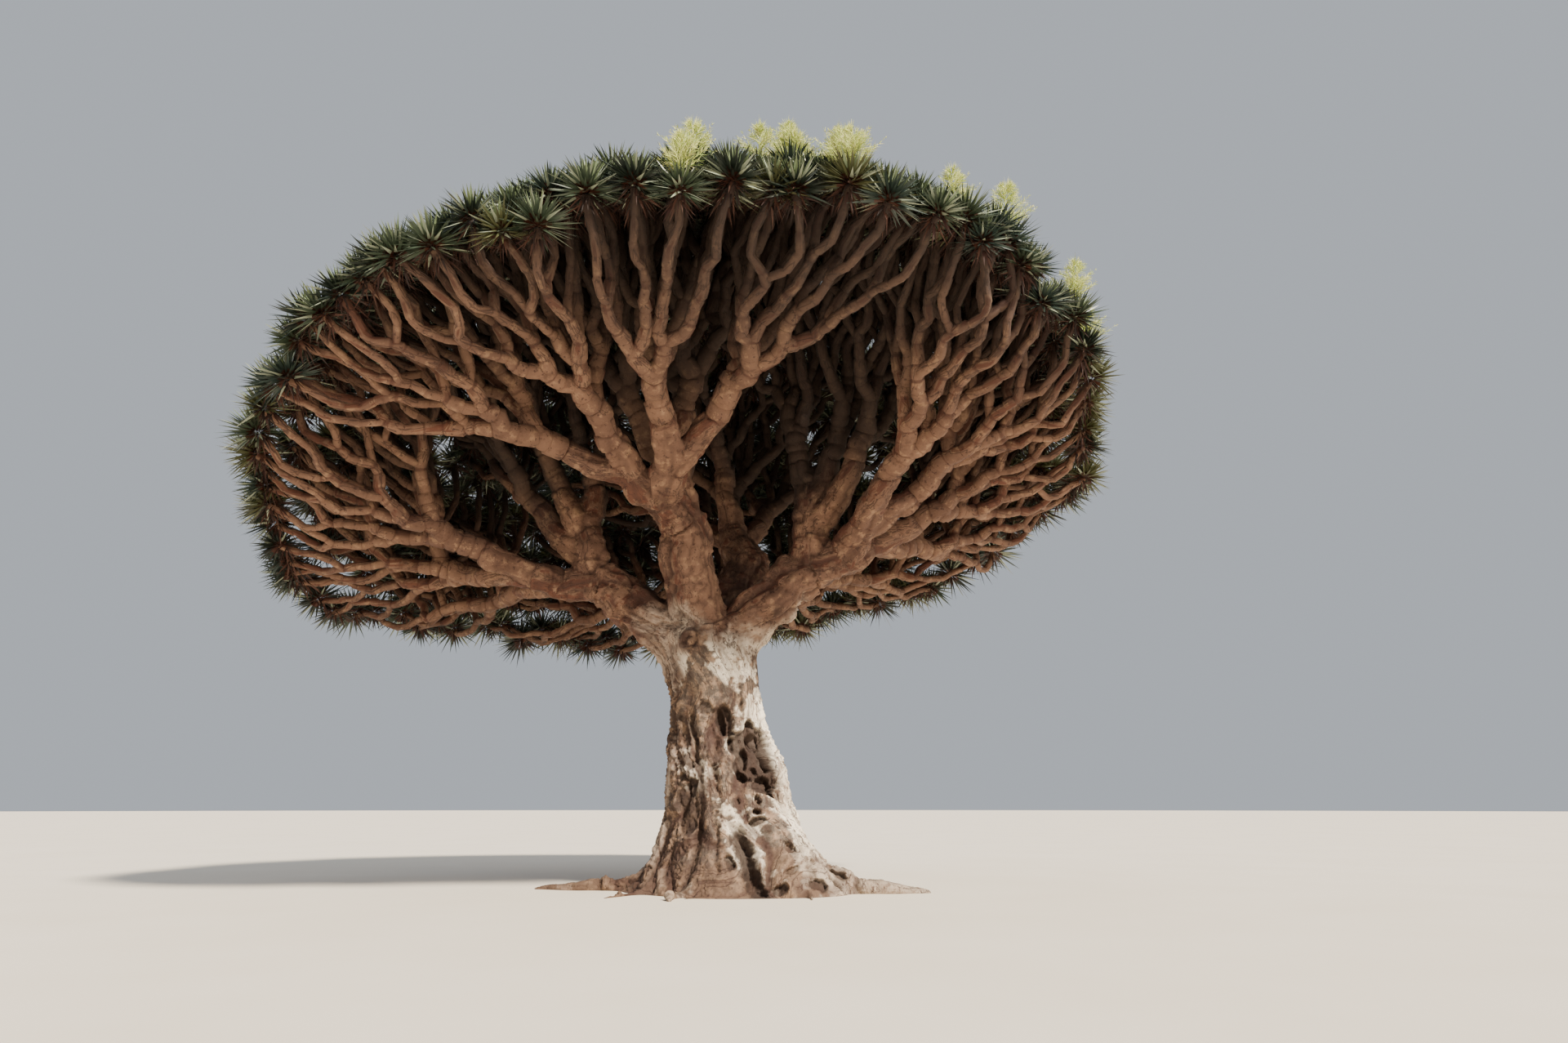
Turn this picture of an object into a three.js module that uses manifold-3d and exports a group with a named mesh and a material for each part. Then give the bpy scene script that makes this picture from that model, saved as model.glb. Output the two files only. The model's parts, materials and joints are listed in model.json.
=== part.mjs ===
// Dragon blood tree: an old umbrella-crowned tree with a short bare trunk, boughs that fork in two again
// and again, and stiff sword leaves in rosettes on the outside of the crown only.
// Millimetres, +Z up. The origin is the middle of the flat cut at ground level.

import * as THREE from "three";
import { mergeVertices } from "three/addons/utils/BufferGeometryUtils.js";
import Module from "manifold-3d";

const wasm = await Module();
wasm.setup();

const TURN = 2 * Math.PI;
const UP = new THREE.Vector3(0, 0, 1);
const degrees = THREE.MathUtils.degToRad;

// The trunk: its girth up to the fork, its lean, the ridges of its root flare, the roots that run out over
// the ground, and the hollows in its near side. Azimuths are in degrees from +X towards +Y.
const TRUNK_HEIGHT = 2960;
const TRUNK_PROFILE = [
  { z: 0, radius: 840 },
  { z: 330, radius: 745 },
  { z: 740, radius: 640 },
  { z: 1160, radius: 560 },
  { z: 1600, radius: 485 },
  { z: 2000, radius: 480 },
  { z: 2400, radius: 520 },
  { z: 2700, radius: 500 },
  { z: 2880, radius: 390 },
  { z: TRUNK_HEIGHT, radius: 190 },
];
const TRUNK_LEAN = -0.125;
const TRUNK_SECTORS = 24;
const TRUNK_RINGS = 12;
const RINGS_CLOSER_LOW = 1.15;
const RIDGES = [
  { azimuth: 335, swell: 400, height: 330 },
  { azimuth: 188, swell: 330, height: 300 },
  { azimuth: 252, swell: 230, height: 420 },
  { azimuth: 300, swell: 190, height: 520 },
  { azimuth: 30, swell: 260, height: 300 },
  { azimuth: 92, swell: 300, height: 320 },
  { azimuth: 140, swell: 220, height: 300 },
];
const RIDGE_SHARPNESS = 6;
const SURFACE_ROOTS = [
  { azimuth: 337, reach: 2050, radius: 170, bend: 14 },
  { azimuth: 186, reach: 2150, radius: 150, bend: -10 },
  { azimuth: 236, reach: 1500, radius: 120, bend: 12 },
  { azimuth: 95, reach: 1750, radius: 150, bend: 12 },
  { azimuth: 32, reach: 1500, radius: 130, bend: -12 },
];
const ROOT_STATIONS = [0.3, 0.6, 0.82, 1];
const ROOT_SIDES = 6;
const HOLLOWS = [
  { azimuth: 318, z: 1300, width: 340, height: 600, depth: 150 },
  { azimuth: 276, z: 1680, width: 240, height: 420, depth: 110 },
];

// The crown, as the surface that the tips of its twigs reach: a shallow dome on an oval, whose rim rises
// to one side, is higher at both ends of one line across, and droops in one place
const CROWN_CENTRE = { x: -590, y: 180 };
const CROWN_RADIUS = 4480;
const CROWN_OVAL = 0.035;
const OVAL_SIDE = -2;
const CROWN_WAVES = [
  { count: 5, size: 0.014 },
  { count: 11, size: 0.012 },
];
const RIM_HEIGHT = 4360;
const RIM_RISE = 1260;
const HIGH_SIDE = 295;
const SADDLE = 100;
const SADDLE_SIDE = 279;
const DOME_HEIGHT = 2320;
const DOME_POWER = 2.2;
const DROOP = 200;
const DROOP_SIDE = 172;
const DROOP_WIDTH = 27;

// The limbs: where the four great ones first fork, and how each goes on from there
const FORK_HEART = new THREE.Vector3(-300, 0, 2300);
const GREAT_LIMBS = [
  { side: "left", ends: 6, from: 138, to: 214, crotch: [-1540, 90, 3230] },
  { side: "front", ends: 7, from: 214, to: 305, crotch: [-670, -430, 3850] },
  { side: "right", ends: 7, from: 305, to: 392, crotch: [800, -30, 3430] },
  { side: "back", ends: 8, from: 32, to: 138, crotch: [60, 760, 3560] },
];
const RIM_AIM = 0.88;
const AIM_SPREAD = 0.12;
const AIM_RISE = 100;
const FIRST_SHARE = 0.25;
const BOUGH_END_SHARE = 0.55;
const LAST_STRETCH = 1.6;
const ELBOW_AT = 0.42;
const FORK_PUSH = 0.35;
const TIP_RADIUS = 50;
const PIPE_POWER = 2.9;
const TIPS_PER_MASS = 24;
const BOUGH_SIDES = 7;
const BOUGH_STEP = 430;
const FORK_NECK = 0.94;
const STRETCH_TAPER = 0.9;
const LEAVING_TURN = 0.5;
const ARRIVING_TURN = 0.8;
const CUT_SPREAD = 0.05;
const FORK_CAMBER = 60;
const CLEAR = 0.3;
const CUT_CLEAR = CLEAR + 0.05;

// The foliage: each mass forks on into a few tips, and each tip holds a rosette of sword leaves
const TIPS_BUILT = 4;
const STEM_SIDES = 5;
const TWIG_SIDES = 3;
const TWIG_STEP = 520;
const LEAF_LENGTH = 350;
const ROSETTE_HEART = 155;
const LEAF_SPLAY = degrees(80);
const SPACE_MARGIN = 250;
const PLUME_LENGTH = 430;
const PLUME_WIDTH = 130;
const PLUME_SIDE = 306;
const PLUME_SPREAD = 36;
const PLUME_REACH = 0.5;
const PLUME_SHARE = 0.6;

const BARK = new THREE.MeshStandardMaterial({ color: 0x9c6a40, roughness: 0.85, metalness: 0 });
const PALE_BARK = new THREE.MeshStandardMaterial({ color: 0xb9a58c, roughness: 0.9, metalness: 0 });
const LEAF = new THREE.MeshStandardMaterial({ color: 0x3f4f3c, roughness: 0.5, metalness: 0 });

// A steady number from 0 to 1 for each seed and use, so that a cell always grows the same way.
function chance(seed, use) {
  const wave = Math.sin(seed * 12.9898 + use * 78.233) * 43758.5453;
  return wave - Math.floor(wave);
}

function spread(seed, use) {
  return 2 * chance(seed, use) - 1;
}

function polar(azimuth, radius) {
  return new THREE.Vector3(radius * Math.cos(azimuth), radius * Math.sin(azimuth), 0);
}

// The signed angle from one azimuth to another, from -180 to 180 degrees, in radians.
function turnBetween(from, to) {
  return ((((to - from + Math.PI) % TURN) + TURN) % TURN) - Math.PI;
}

// A closed mesh as a solid.
function solidOf(geometry) {
  const bare = geometry.index ? geometry.toNonIndexed() : geometry.clone();
  const merged = mergeVertices(
    new THREE.BufferGeometry().setAttribute("position", bare.getAttribute("position")), 1e-3);
  return new wasm.Manifold(new wasm.Mesh({
    numProp: 3,
    vertProperties: merged.attributes.position.array,
    triVerts: new Uint32Array(merged.index.array),
  }));
}

function meshOf(solid, name, material) {
  const { vertProperties, triVerts } = solid.getMesh();
  const geometry = new THREE.BufferGeometry();
  geometry.setAttribute("position", new THREE.BufferAttribute(new Float32Array(vertProperties), 3));
  geometry.setIndex(new THREE.BufferAttribute(new Uint32Array(triVerts), 1));
  geometry.computeVertexNormals();
  const mesh = new THREE.Mesh(geometry, material);
  mesh.name = name;
  return mesh;
}

function largestBody(solid) {
  return solid.decompose().sort((a, b) => b.volume() - a.volume())[0];
}

function boxOf(solid) {
  const { min, max } = solid.boundingBox();
  return new THREE.Box3(new THREE.Vector3(...min), new THREE.Vector3(...max));
}

// Moves each vertex of an upright unit cylinder to where place(angle, share of height, radius) says.
function reshapedCylinder(sides, rings, place) {
  const geometry = new THREE.CylinderGeometry(1, 1, 1, sides, rings);
  const position = geometry.attributes.position;
  for (let i = 0; i < position.count; i++) {
    const x = position.getX(i);
    const z = -position.getZ(i);
    const p = place(Math.atan2(z, x), position.getY(i) + 0.5, Math.hypot(x, z));
    position.setXYZ(i, p.x, p.y, p.z);
  }
  return geometry;
}

// One tapering limb: a cylinder bent onto a smooth curve through the points, with a radius at each point.
function limbSolid({ points, radii }, sides, step, extra = 0) {
  const curve = new THREE.CatmullRomCurve3(points, false, "centripetal");
  const rings = Math.max(1, Math.round(curve.getLength() / step));
  const frames = curve.computeFrenetFrames(rings, false);
  const radiusAt = (along) => {
    const t = curve.getUtoTmapping(along) * (radii.length - 1);
    const i = Math.min(Math.floor(t), radii.length - 2);
    return THREE.MathUtils.lerp(radii[i], radii[i + 1], t - i) + extra;
  };
  return solidOf(reshapedCylinder(sides, rings, (angle, along, share) => {
    const ring = Math.round(along * rings);
    const radius = share * radiusAt(along);
    return curve.getPointAt(along)
      .addScaledVector(frames.normals[ring], radius * Math.cos(angle))
      .addScaledVector(frames.binormals[ring], radius * Math.sin(angle))
      .addScaledVector(frames.tangents[ring], along > 0.5 ? extra : -extra);
  }));
}

// Trunk

function profileRadius(z) {
  const above = Math.max(1, TRUNK_PROFILE.findIndex((row) => row.z >= z));
  const [low, high] = [TRUNK_PROFILE[above - 1], TRUNK_PROFILE[above]];
  return THREE.MathUtils.lerp(low.radius, high.radius, (z - low.z) / (high.z - low.z));
}

function trunkRadius(azimuth, z) {
  return RIDGES.reduce((radius, ridge) => {
    const facing = Math.max(0, Math.cos(azimuth - degrees(ridge.azimuth)));
    return radius + ridge.swell * Math.exp(-z / ridge.height) * facing ** RIDGE_SHARPNESS;
  }, profileRadius(z));
}

function trunkAxis(z) {
  return new THREE.Vector3(TRUNK_LEAN * z, 0, z);
}

function boleSolid(extra = 0) {
  return solidOf(reshapedCylinder(TRUNK_SECTORS, TRUNK_RINGS, (azimuth, along, share) => {
    const z = TRUNK_HEIGHT * along ** RINGS_CLOSER_LOW;
    const reach = share * (trunkRadius(azimuth, z) + extra);
    return trunkAxis(z + (along > 0.5 ? extra : 0)).add(polar(azimuth, reach));
  }));
}

// A root that starts inside the flare and thins and sinks as it runs out.
function surfaceRoot({ azimuth, reach, radius, bend }) {
  const points = ROOT_STATIONS.map((share) => {
    const heading = degrees(azimuth + bend * share * share);
    return polar(heading, reach * share).setZ(0.9 * radius * (1 - share));
  });
  const radii = ROOT_STATIONS.map((share) => radius * (1.25 - share));
  return limbSolid({ points, radii }, ROOT_SIDES, BOUGH_STEP);
}

// The cutter for a hollow, centred on the bark.
function hollow({ azimuth, z, width, height, depth }) {
  const around = degrees(azimuth);
  const cutter = new THREE.SphereGeometry(1, 8, 6);
  cutter.rotateX(Math.PI / 2);
  cutter.scale(depth, width / 2, height / 2);
  cutter.rotateZ(around);
  const centre = trunkAxis(z).add(polar(around, trunkRadius(around, z)));
  cutter.translate(centre.x, centre.y, centre.z);
  return solidOf(cutter);
}

function trunkSolid() {
  const whole = SURFACE_ROOTS.map(surfaceRoot).reduce((solid, root) => solid.add(root), boleSolid());
  return HOLLOWS.map(hollow).reduce((solid, cutter) => solid.subtract(cutter), whole)
    .trimByPlane([0, 0, 1], 0);
}

// Crown, shared out as cells. A cell is a range of azimuth and one of area, where the area inside a reach,
// taken as 0 at the centre and 1 at the rim, is the square of that reach.

function crownPoint(azimuth, reach) {
  const droop = Math.exp(-((turnBetween(degrees(DROOP_SIDE), azimuth) / degrees(DROOP_WIDTH)) ** 2));
  const height = RIM_HEIGHT
    + RIM_RISE * reach * Math.cos(azimuth - degrees(HIGH_SIDE))
    + SADDLE * reach ** 2 * Math.cos(2 * (azimuth - degrees(SADDLE_SIDE)))
    + DOME_HEIGHT * (1 - reach ** DOME_POWER)
    - DROOP * droop * reach ** 3;
  const oval = 1 + CROWN_OVAL * Math.cos(2 * (azimuth - degrees(OVAL_SIDE)));
  const wave = CROWN_WAVES.reduce((sum, { count, size }) => sum + size * Math.sin(count * azimuth), oval);
  return polar(azimuth, CROWN_RADIUS * wave * reach)
    .add(new THREE.Vector3(CROWN_CENTRE.x, CROWN_CENTRE.y, height));
}

// A cell aims near its middle, or near the rim where it touches that, and a little over or under the crown.
function makeCell(seed, azimuth, area) {
  const outward = area[1] === 1 ? RIM_AIM : 0.5;
  const aimAzimuth = THREE.MathUtils.lerp(...azimuth, 0.5 + AIM_SPREAD * spread(seed, 1));
  const aimReach = Math.sqrt(THREE.MathUtils.lerp(...area, outward + AIM_SPREAD * spread(seed, 2)));
  const aim = crownPoint(aimAzimuth, aimReach).addScaledVector(UP, AIM_RISE * spread(seed, 7));
  return { seed, azimuth, area, aim, aimAzimuth, aimReach };
}

// Splits a cell in two across its longer way, the first half taking the given share of its area.
function halves(cell, share) {
  const reach = cell.area.map(Math.sqrt);
  const arc = (reach[0] + reach[1]) / 2 * (cell.azimuth[1] - cell.azimuth[0]);
  const way = arc > reach[1] - reach[0] ? "azimuth" : "area";
  const flip = chance(cell.seed, 3) < 0.5;
  const at = (flip ? share : 1 - share) + CUT_SPREAD * spread(cell.seed, 4);
  const cut = THREE.MathUtils.lerp(...cell[way], at);
  const ranges = [[cell[way][0], cut], [cut, cell[way][1]]];
  const pair = flip ? ranges : ranges.reverse();
  return pair.map((range, i) => makeCell(2 * cell.seed + i,
    way === "azimuth" ? range : cell.azimuth, way === "area" ? range : cell.area));
}

// The elbow and the end of the stretch that a limb grows from a fork, over part of the way to its cell's
// aim. It leaves between its heading and its aim, and away from the other half, or straight on if it has
// no other half, and then turns to its aim.
function stretch(from, heading, part, cell, other = null) {
  const way = cell.aim.clone().sub(from);
  const length = part * way.length();
  way.normalize();
  const leaving = heading.clone();
  const arriving = heading.clone().lerp(way, part < 1 ? ARRIVING_TURN : 1);
  if (other) {
    const apart = cell.aim.clone().sub(other.aim).normalize();
    leaving.lerp(way, LEAVING_TURN).addScaledVector(apart, FORK_PUSH);
    arriving.addScaledVector(apart, part < 1 ? FORK_PUSH / 2 : 0);
  }
  return [from.clone().addScaledVector(leaving.normalize(), ELBOW_AT * length),
    from.clone().addScaledVector(arriving.normalize(), length)];
}

function headingOf(points) {
  const [before, last] = points.slice(-2);
  return last.clone().sub(before).normalize();
}

// The radius of a limb that bears so many tips on the living tree.
function pipeRadius(tips) {
  return TIP_RADIUS * tips ** (1 / PIPE_POWER);
}

// How much of the way from the fork to the crown the next stretch covers, with so many ends still to part.
function stepShare(left, ends) {
  return ends > 1 ? left / (Math.ceil(Math.log2(ends)) + LAST_STRETCH) : left;
}

// Adds limbs to the list: this one, which carries on into its first half cell, and each that forks off it.
// A limb stands at a share of the way to the crown, and its ends stand at the end share.
function growLimb(limb, cell, ends, tipsPerEnd, share, endShare, limbs) {
  limbs.push(limb);
  while (ends > 1) {
    const first = Math.ceil(ends / 2);
    const rest = ends - first;
    const [near, far] = halves(cell, first / ends);
    const fork = limb.points.at(-1);
    const heading = headingOf(limb.points);
    const farStep = stepShare(endShare - share, rest);
    const farGirth = pipeRadius(rest * tipsPerEnd);
    const offshoot = {
      side: limb.side,
      points: [fork, ...stretch(fork, heading, farStep / (1 - share), far, near)],
      radii: [farGirth * FORK_NECK, farGirth, farGirth * STRETCH_TAPER],
    };
    growLimb(offshoot, far, rest, tipsPerEnd, share + farStep, endShare, limbs);
    const nearStep = stepShare(endShare - share, first);
    const nearGirth = pipeRadius(first * tipsPerEnd);
    limb.points.push(...stretch(fork, heading, nearStep / (1 - share), near, far));
    limb.radii.push(nearGirth, nearGirth * STRETCH_TAPER);
    share += nearStep;
    cell = near;
    ends = first;
  }
  limb.cell = cell;
}

function growBoughs() {
  const boughs = [];
  GREAT_LIMBS.forEach(({ side, ends, from, to, crotch }, i) => {
    const girth = pipeRadius(ends * TIPS_PER_MASS);
    const fork = new THREE.Vector3(...crotch);
    const rise = FORK_HEART.clone().lerp(fork, 0.5).addScaledVector(UP, FORK_CAMBER);
    const limb = { side, points: [FORK_HEART, rise, fork], radii: [girth, girth, girth * FORK_NECK] };
    const cell = makeCell(i + 4, [degrees(from), degrees(to)], [0, 1]);
    growLimb(limb, cell, ends, TIPS_PER_MASS, FIRST_SHARE, BOUGH_END_SHARE, boughs);
  });
  return boughs;
}

// Foliage masses, each grown from the end of one bough into the space over its own cell

function insideSpace(point, cell) {
  const x = point.x - CROWN_CENTRE.x;
  const y = point.y - CROWN_CENTRE.y;
  const reach = Math.hypot(x, y);
  const [from, to] = cell.azimuth;
  const sideways = Math.abs(turnBetween((from + to) / 2, Math.atan2(y, x))) - (to - from) / 2;
  const [inner, outer] = cell.area.map((area) => CROWN_RADIUS * Math.sqrt(area));
  const beyond = cell.area[1] === 1 ? 0 : reach - outer;
  return Math.max(sideways * reach, inner - reach, beyond) < SPACE_MARGIN;
}

function clearOf(solid, obstacles) {
  const box = boxOf(solid).expandByScalar(2);
  return obstacles.every((o) => !box.intersectsBox(o.box) || solid.minGap(o.solid, 1) > 2 * CLEAR);
}

// A spike from a triangle's three corners to a tip, as a list of points, three for each face.
function spike([a, b, c], tip) {
  return [a, b, tip, b, c, tip, c, a, tip];
}

// A rosette: a small icosahedron round the tip of a twig. Each face that looks out within the splay is
// drawn out into a leaf, where that leaf keeps to its space and clear of the limbs.
function rosette(tip, axis, cell, obstacles) {
  const heart = new THREE.IcosahedronGeometry(ROSETTE_HEART, 0);
  heart.rotateX(TURN * chance(cell.seed, 6));
  heart.applyQuaternion(new THREE.Quaternion().setFromUnitVectors(UP, axis));
  heart.translate(tip.x, tip.y, tip.z);
  if (!clearOf(solidOf(heart), obstacles)) return [];
  const corners = Array.from({ length: heart.attributes.position.count },
    (_, i) => new THREE.Vector3().fromBufferAttribute(heart.attributes.position, i));
  const points = [];
  for (let i = 0; i < corners.length; i += 3) {
    const face = corners.slice(i, i + 3);
    const middle = new THREE.Vector3().add(face[0]).add(face[1]).add(face[2]).divideScalar(3);
    const heading = middle.clone().sub(tip).normalize();
    const end = middle.clone().addScaledVector(heading, LEAF_LENGTH);
    const leaf = [...spike(face, end), face[2], face[1], face[0]];
    const grows = heading.angleTo(axis) < LEAF_SPLAY && insideSpace(end, cell)
      && clearOf(solidOf(new THREE.BufferGeometry().setFromPoints(leaf)), obstacles);
    points.push(...(grows ? spike(face, end) : face));
  }
  return [solidOf(new THREE.BufferGeometry().setFromPoints(points))];
}

// A flower head: a narrow plume that stands up out of the rosette.
function plume(tip) {
  const geometry = new THREE.OctahedronGeometry(1, 0);
  geometry.rotateX(Math.PI / 2);
  geometry.scale(PLUME_WIDTH / 2, PLUME_WIDTH / 2, PLUME_LENGTH / 2);
  geometry.translate(tip.x, tip.y, tip.z + PLUME_LENGTH / 2);
  return solidOf(geometry);
}

function hasPlume(cell) {
  const facing = Math.abs(turnBetween(degrees(PLUME_SIDE), cell.aimAzimuth)) < degrees(PLUME_SPREAD);
  return facing && cell.aimReach > PLUME_REACH && chance(cell.seed, 5) < PLUME_SHARE;
}

function growMass(bough, obstacles) {
  const curve = new THREE.CatmullRomCurve3(bough.points, false, "centripetal");
  const heading = curve.getTangent(1);
  const start = bough.points.at(-1).clone().addScaledVector(heading, CLEAR);
  const girth = STRETCH_TAPER * pipeRadius(TIPS_PER_MASS);
  const step = stepShare(1 - BOUGH_END_SHARE, TIPS_BUILT);
  const points = [start, ...stretch(start, heading, step / (1 - BOUGH_END_SHARE), bough.cell)];
  const stem = { points, radii: [girth, girth, girth] };
  const twigs = [];
  growLimb(stem, bough.cell, TIPS_BUILT, TIPS_PER_MASS / TIPS_BUILT, BOUGH_END_SHARE + step, 1, twigs);
  const pieces = [];
  twigs.forEach((twig, i) => {
    const solid = limbSolid(twig, i === 0 ? STEM_SIDES : TWIG_SIDES, TWIG_STEP);
    if (!clearOf(solid, obstacles)) return;
    const tip = twig.points.at(-1);
    const axis = headingOf(twig.points).add(UP).normalize();
    pieces.push(solid, ...rosette(tip, axis, twig.cell, obstacles));
    if (hasPlume(twig.cell)) pieces.push(plume(tip));
  });
  return largestBody(wasm.Manifold.union(pieces));
}

// Assembly: each bough is cut clear of the trunk and of the boughs before it, and each mass of foliage
// grows clear of the trunk, of the other boughs and of the masses before it.

function boxed(solid, bough = null) {
  return { solid, box: boxOf(solid), bough };
}

const tree = new THREE.Group();
const trunk = trunkSolid();
tree.add(meshOf(trunk, "trunk", PALE_BARK));

const boughs = growBoughs();
const cutters = [boxed(boleSolid(CUT_CLEAR))];
const obstacles = [boxed(trunk)];
const counts = {};
for (const bough of boughs) {
  counts[bough.side] = (counts[bough.side] ?? 0) + 1;
  bough.number = counts[bough.side];
  const whole = limbSolid(bough, BOUGH_SIDES, BOUGH_STEP);
  const near = cutters.filter((cutter) => cutter.box.intersectsBox(boxOf(whole)));
  const solid = largestBody(near.reduce((left, cutter) => left.subtract(cutter.solid), whole));
  tree.add(meshOf(solid, `${bough.side}_bough_${bough.number}`, BARK));
  cutters.push(boxed(limbSolid(bough, BOUGH_SIDES, BOUGH_STEP, CUT_CLEAR)));
  obstacles.push(boxed(solid, bough));
}
for (const bough of boughs) {
  const mass = growMass(bough, obstacles.filter((obstacle) => obstacle.bough !== bough));
  tree.add(meshOf(mass, `${bough.side}_foliage_${bough.number}`, LEAF));
  obstacles.push(boxed(mass));
}

export default tree;
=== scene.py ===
# %% [markdown]
# # A dragon blood tree
#
# The tree is one rooted plant: a stout hollowed trunk, four great limbs that fork and fork again, and a
# flat umbrella of sword-leaf rosettes. The solids give the trunk, the boughs and the masses of foliage.
# This lesson grows the same crown by the same rule, carries it on to the finest twigs, and dresses it.

# %% Load the solids
import json
import math

import bmesh
import bpy
import numpy as np
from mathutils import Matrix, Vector, kdtree, noise

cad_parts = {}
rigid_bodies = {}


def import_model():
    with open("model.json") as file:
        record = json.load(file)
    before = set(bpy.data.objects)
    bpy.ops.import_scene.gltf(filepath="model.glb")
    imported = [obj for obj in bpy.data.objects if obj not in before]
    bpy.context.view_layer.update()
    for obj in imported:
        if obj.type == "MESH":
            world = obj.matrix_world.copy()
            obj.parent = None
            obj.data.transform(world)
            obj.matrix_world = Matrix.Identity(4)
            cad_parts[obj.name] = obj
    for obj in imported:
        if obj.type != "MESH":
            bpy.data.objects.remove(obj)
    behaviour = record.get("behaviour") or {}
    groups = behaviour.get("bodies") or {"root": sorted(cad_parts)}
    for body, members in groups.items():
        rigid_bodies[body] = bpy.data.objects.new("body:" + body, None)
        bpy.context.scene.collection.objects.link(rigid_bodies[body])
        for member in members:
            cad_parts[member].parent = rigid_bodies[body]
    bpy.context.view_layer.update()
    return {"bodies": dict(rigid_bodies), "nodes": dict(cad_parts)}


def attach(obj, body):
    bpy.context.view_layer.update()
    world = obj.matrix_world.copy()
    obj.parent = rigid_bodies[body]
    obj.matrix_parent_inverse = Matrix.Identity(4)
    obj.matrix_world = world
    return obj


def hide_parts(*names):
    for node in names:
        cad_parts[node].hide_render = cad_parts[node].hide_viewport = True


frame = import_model()


# %% Objects and meshes
def new_object(name, data):
    thing = bpy.data.objects.new(name, data)
    bpy.context.collection.objects.link(thing)
    return thing


def mesh_from(bm, name):
    mesh = bpy.data.meshes.new(name)
    bm.to_mesh(mesh)
    bm.free()
    return mesh


# %% [markdown]
# ## Camera, light and floor
#
# A wide lens stands at eye height and looks up under the crown, so the crown shows its underside. The
# light is a pale room: a bright soft lamp high on the right, as the sun stood, a wide weak one low in
# front that reaches in under the crown, and one behind.

# %% Camera
EYE = Vector((0.51, -11.5, 0.86))
TILT = math.radians(15.147)
LENS_MM = 24
FILM_MM = 36
FAR_CLIP = 400

lens = bpy.data.cameras.new("camera")
lens.lens = LENS_MM
lens.sensor_width = FILM_MM
lens.clip_end = FAR_CLIP
camera = new_object("camera", lens)
camera.location = EYE
camera.rotation_euler = (math.pi / 2 + TILT, 0, 0)
bpy.context.scene.camera = camera
print("camera at", tuple(EYE))


# %% Paint colours
def linear(level):
    """A display level from 0 to 255 as light."""
    share = level / 255
    return share / 12.92 if share < 0.04045 else ((share + 0.055) / 1.055) ** 2.4


def colour(red, green, blue):
    return (linear(red), linear(green), linear(blue), 1)


# %% Light
CROWN_MIDDLE = Vector((-0.5, 0, 4))
# name, place, width in degrees, strength, colour
LAMPS = (
    ("high_lamp", (9, -12, 17.6), 6, 9.5, (255, 244, 226)),
    ("low_lamp", (11, -11, 6.2), 24, 0.6, (255, 238, 216)),
    ("back_lamp", (-9, 14, 9), 60, 0.5, (226, 236, 255)),
)
ROOM_COLOUR = (226, 233, 242)
ROOM_STRENGTH = 0.62

for name, place, width, strength, tint in LAMPS:
    panel = bpy.data.lights.new(name, "SUN")
    panel.angle = math.radians(width)
    panel.energy = strength
    panel.color = colour(*tint)[:3]
    stand = new_object(name, panel)
    stand.location = place
    stand.rotation_euler = (CROWN_MIDDLE - Vector(place)).to_track_quat("-Z", "Y").to_euler()

room = bpy.data.worlds.new("pale_room")
room.use_nodes = True
walls = room.node_tree.nodes["Background"].inputs
walls["Color"].default_value = colour(*ROOM_COLOUR)
walls["Strength"].default_value = ROOM_STRENGTH
bpy.context.scene.world = room
print("lamps:", len(LAMPS))

# %% [markdown]
# ## Materials by arithmetic
#
# A finish is a small sum: this much noise, times that mask, lightens or darkens a bark colour. One class
# wraps a socket, so that such sums are written as sums, and each adds its Math node. Colours are mixed
# by a Mix node, because a Math node would turn them grey.


# %% A socket that can be added and multiplied
class Value:
    def __init__(self, finish, socket):
        self.finish = finish
        self.socket = socket

    def __add__(self, other):
        return self.finish.maths("ADD", self, other)

    def __mul__(self, other):
        return self.finish.maths("MULTIPLY", self, other)

    def __sub__(self, other):
        return self.finish.maths("SUBTRACT", self, other)

    def __rsub__(self, other):
        return self.finish.maths("SUBTRACT", other, self)

    __radd__ = __add__
    __rmul__ = __mul__


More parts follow.
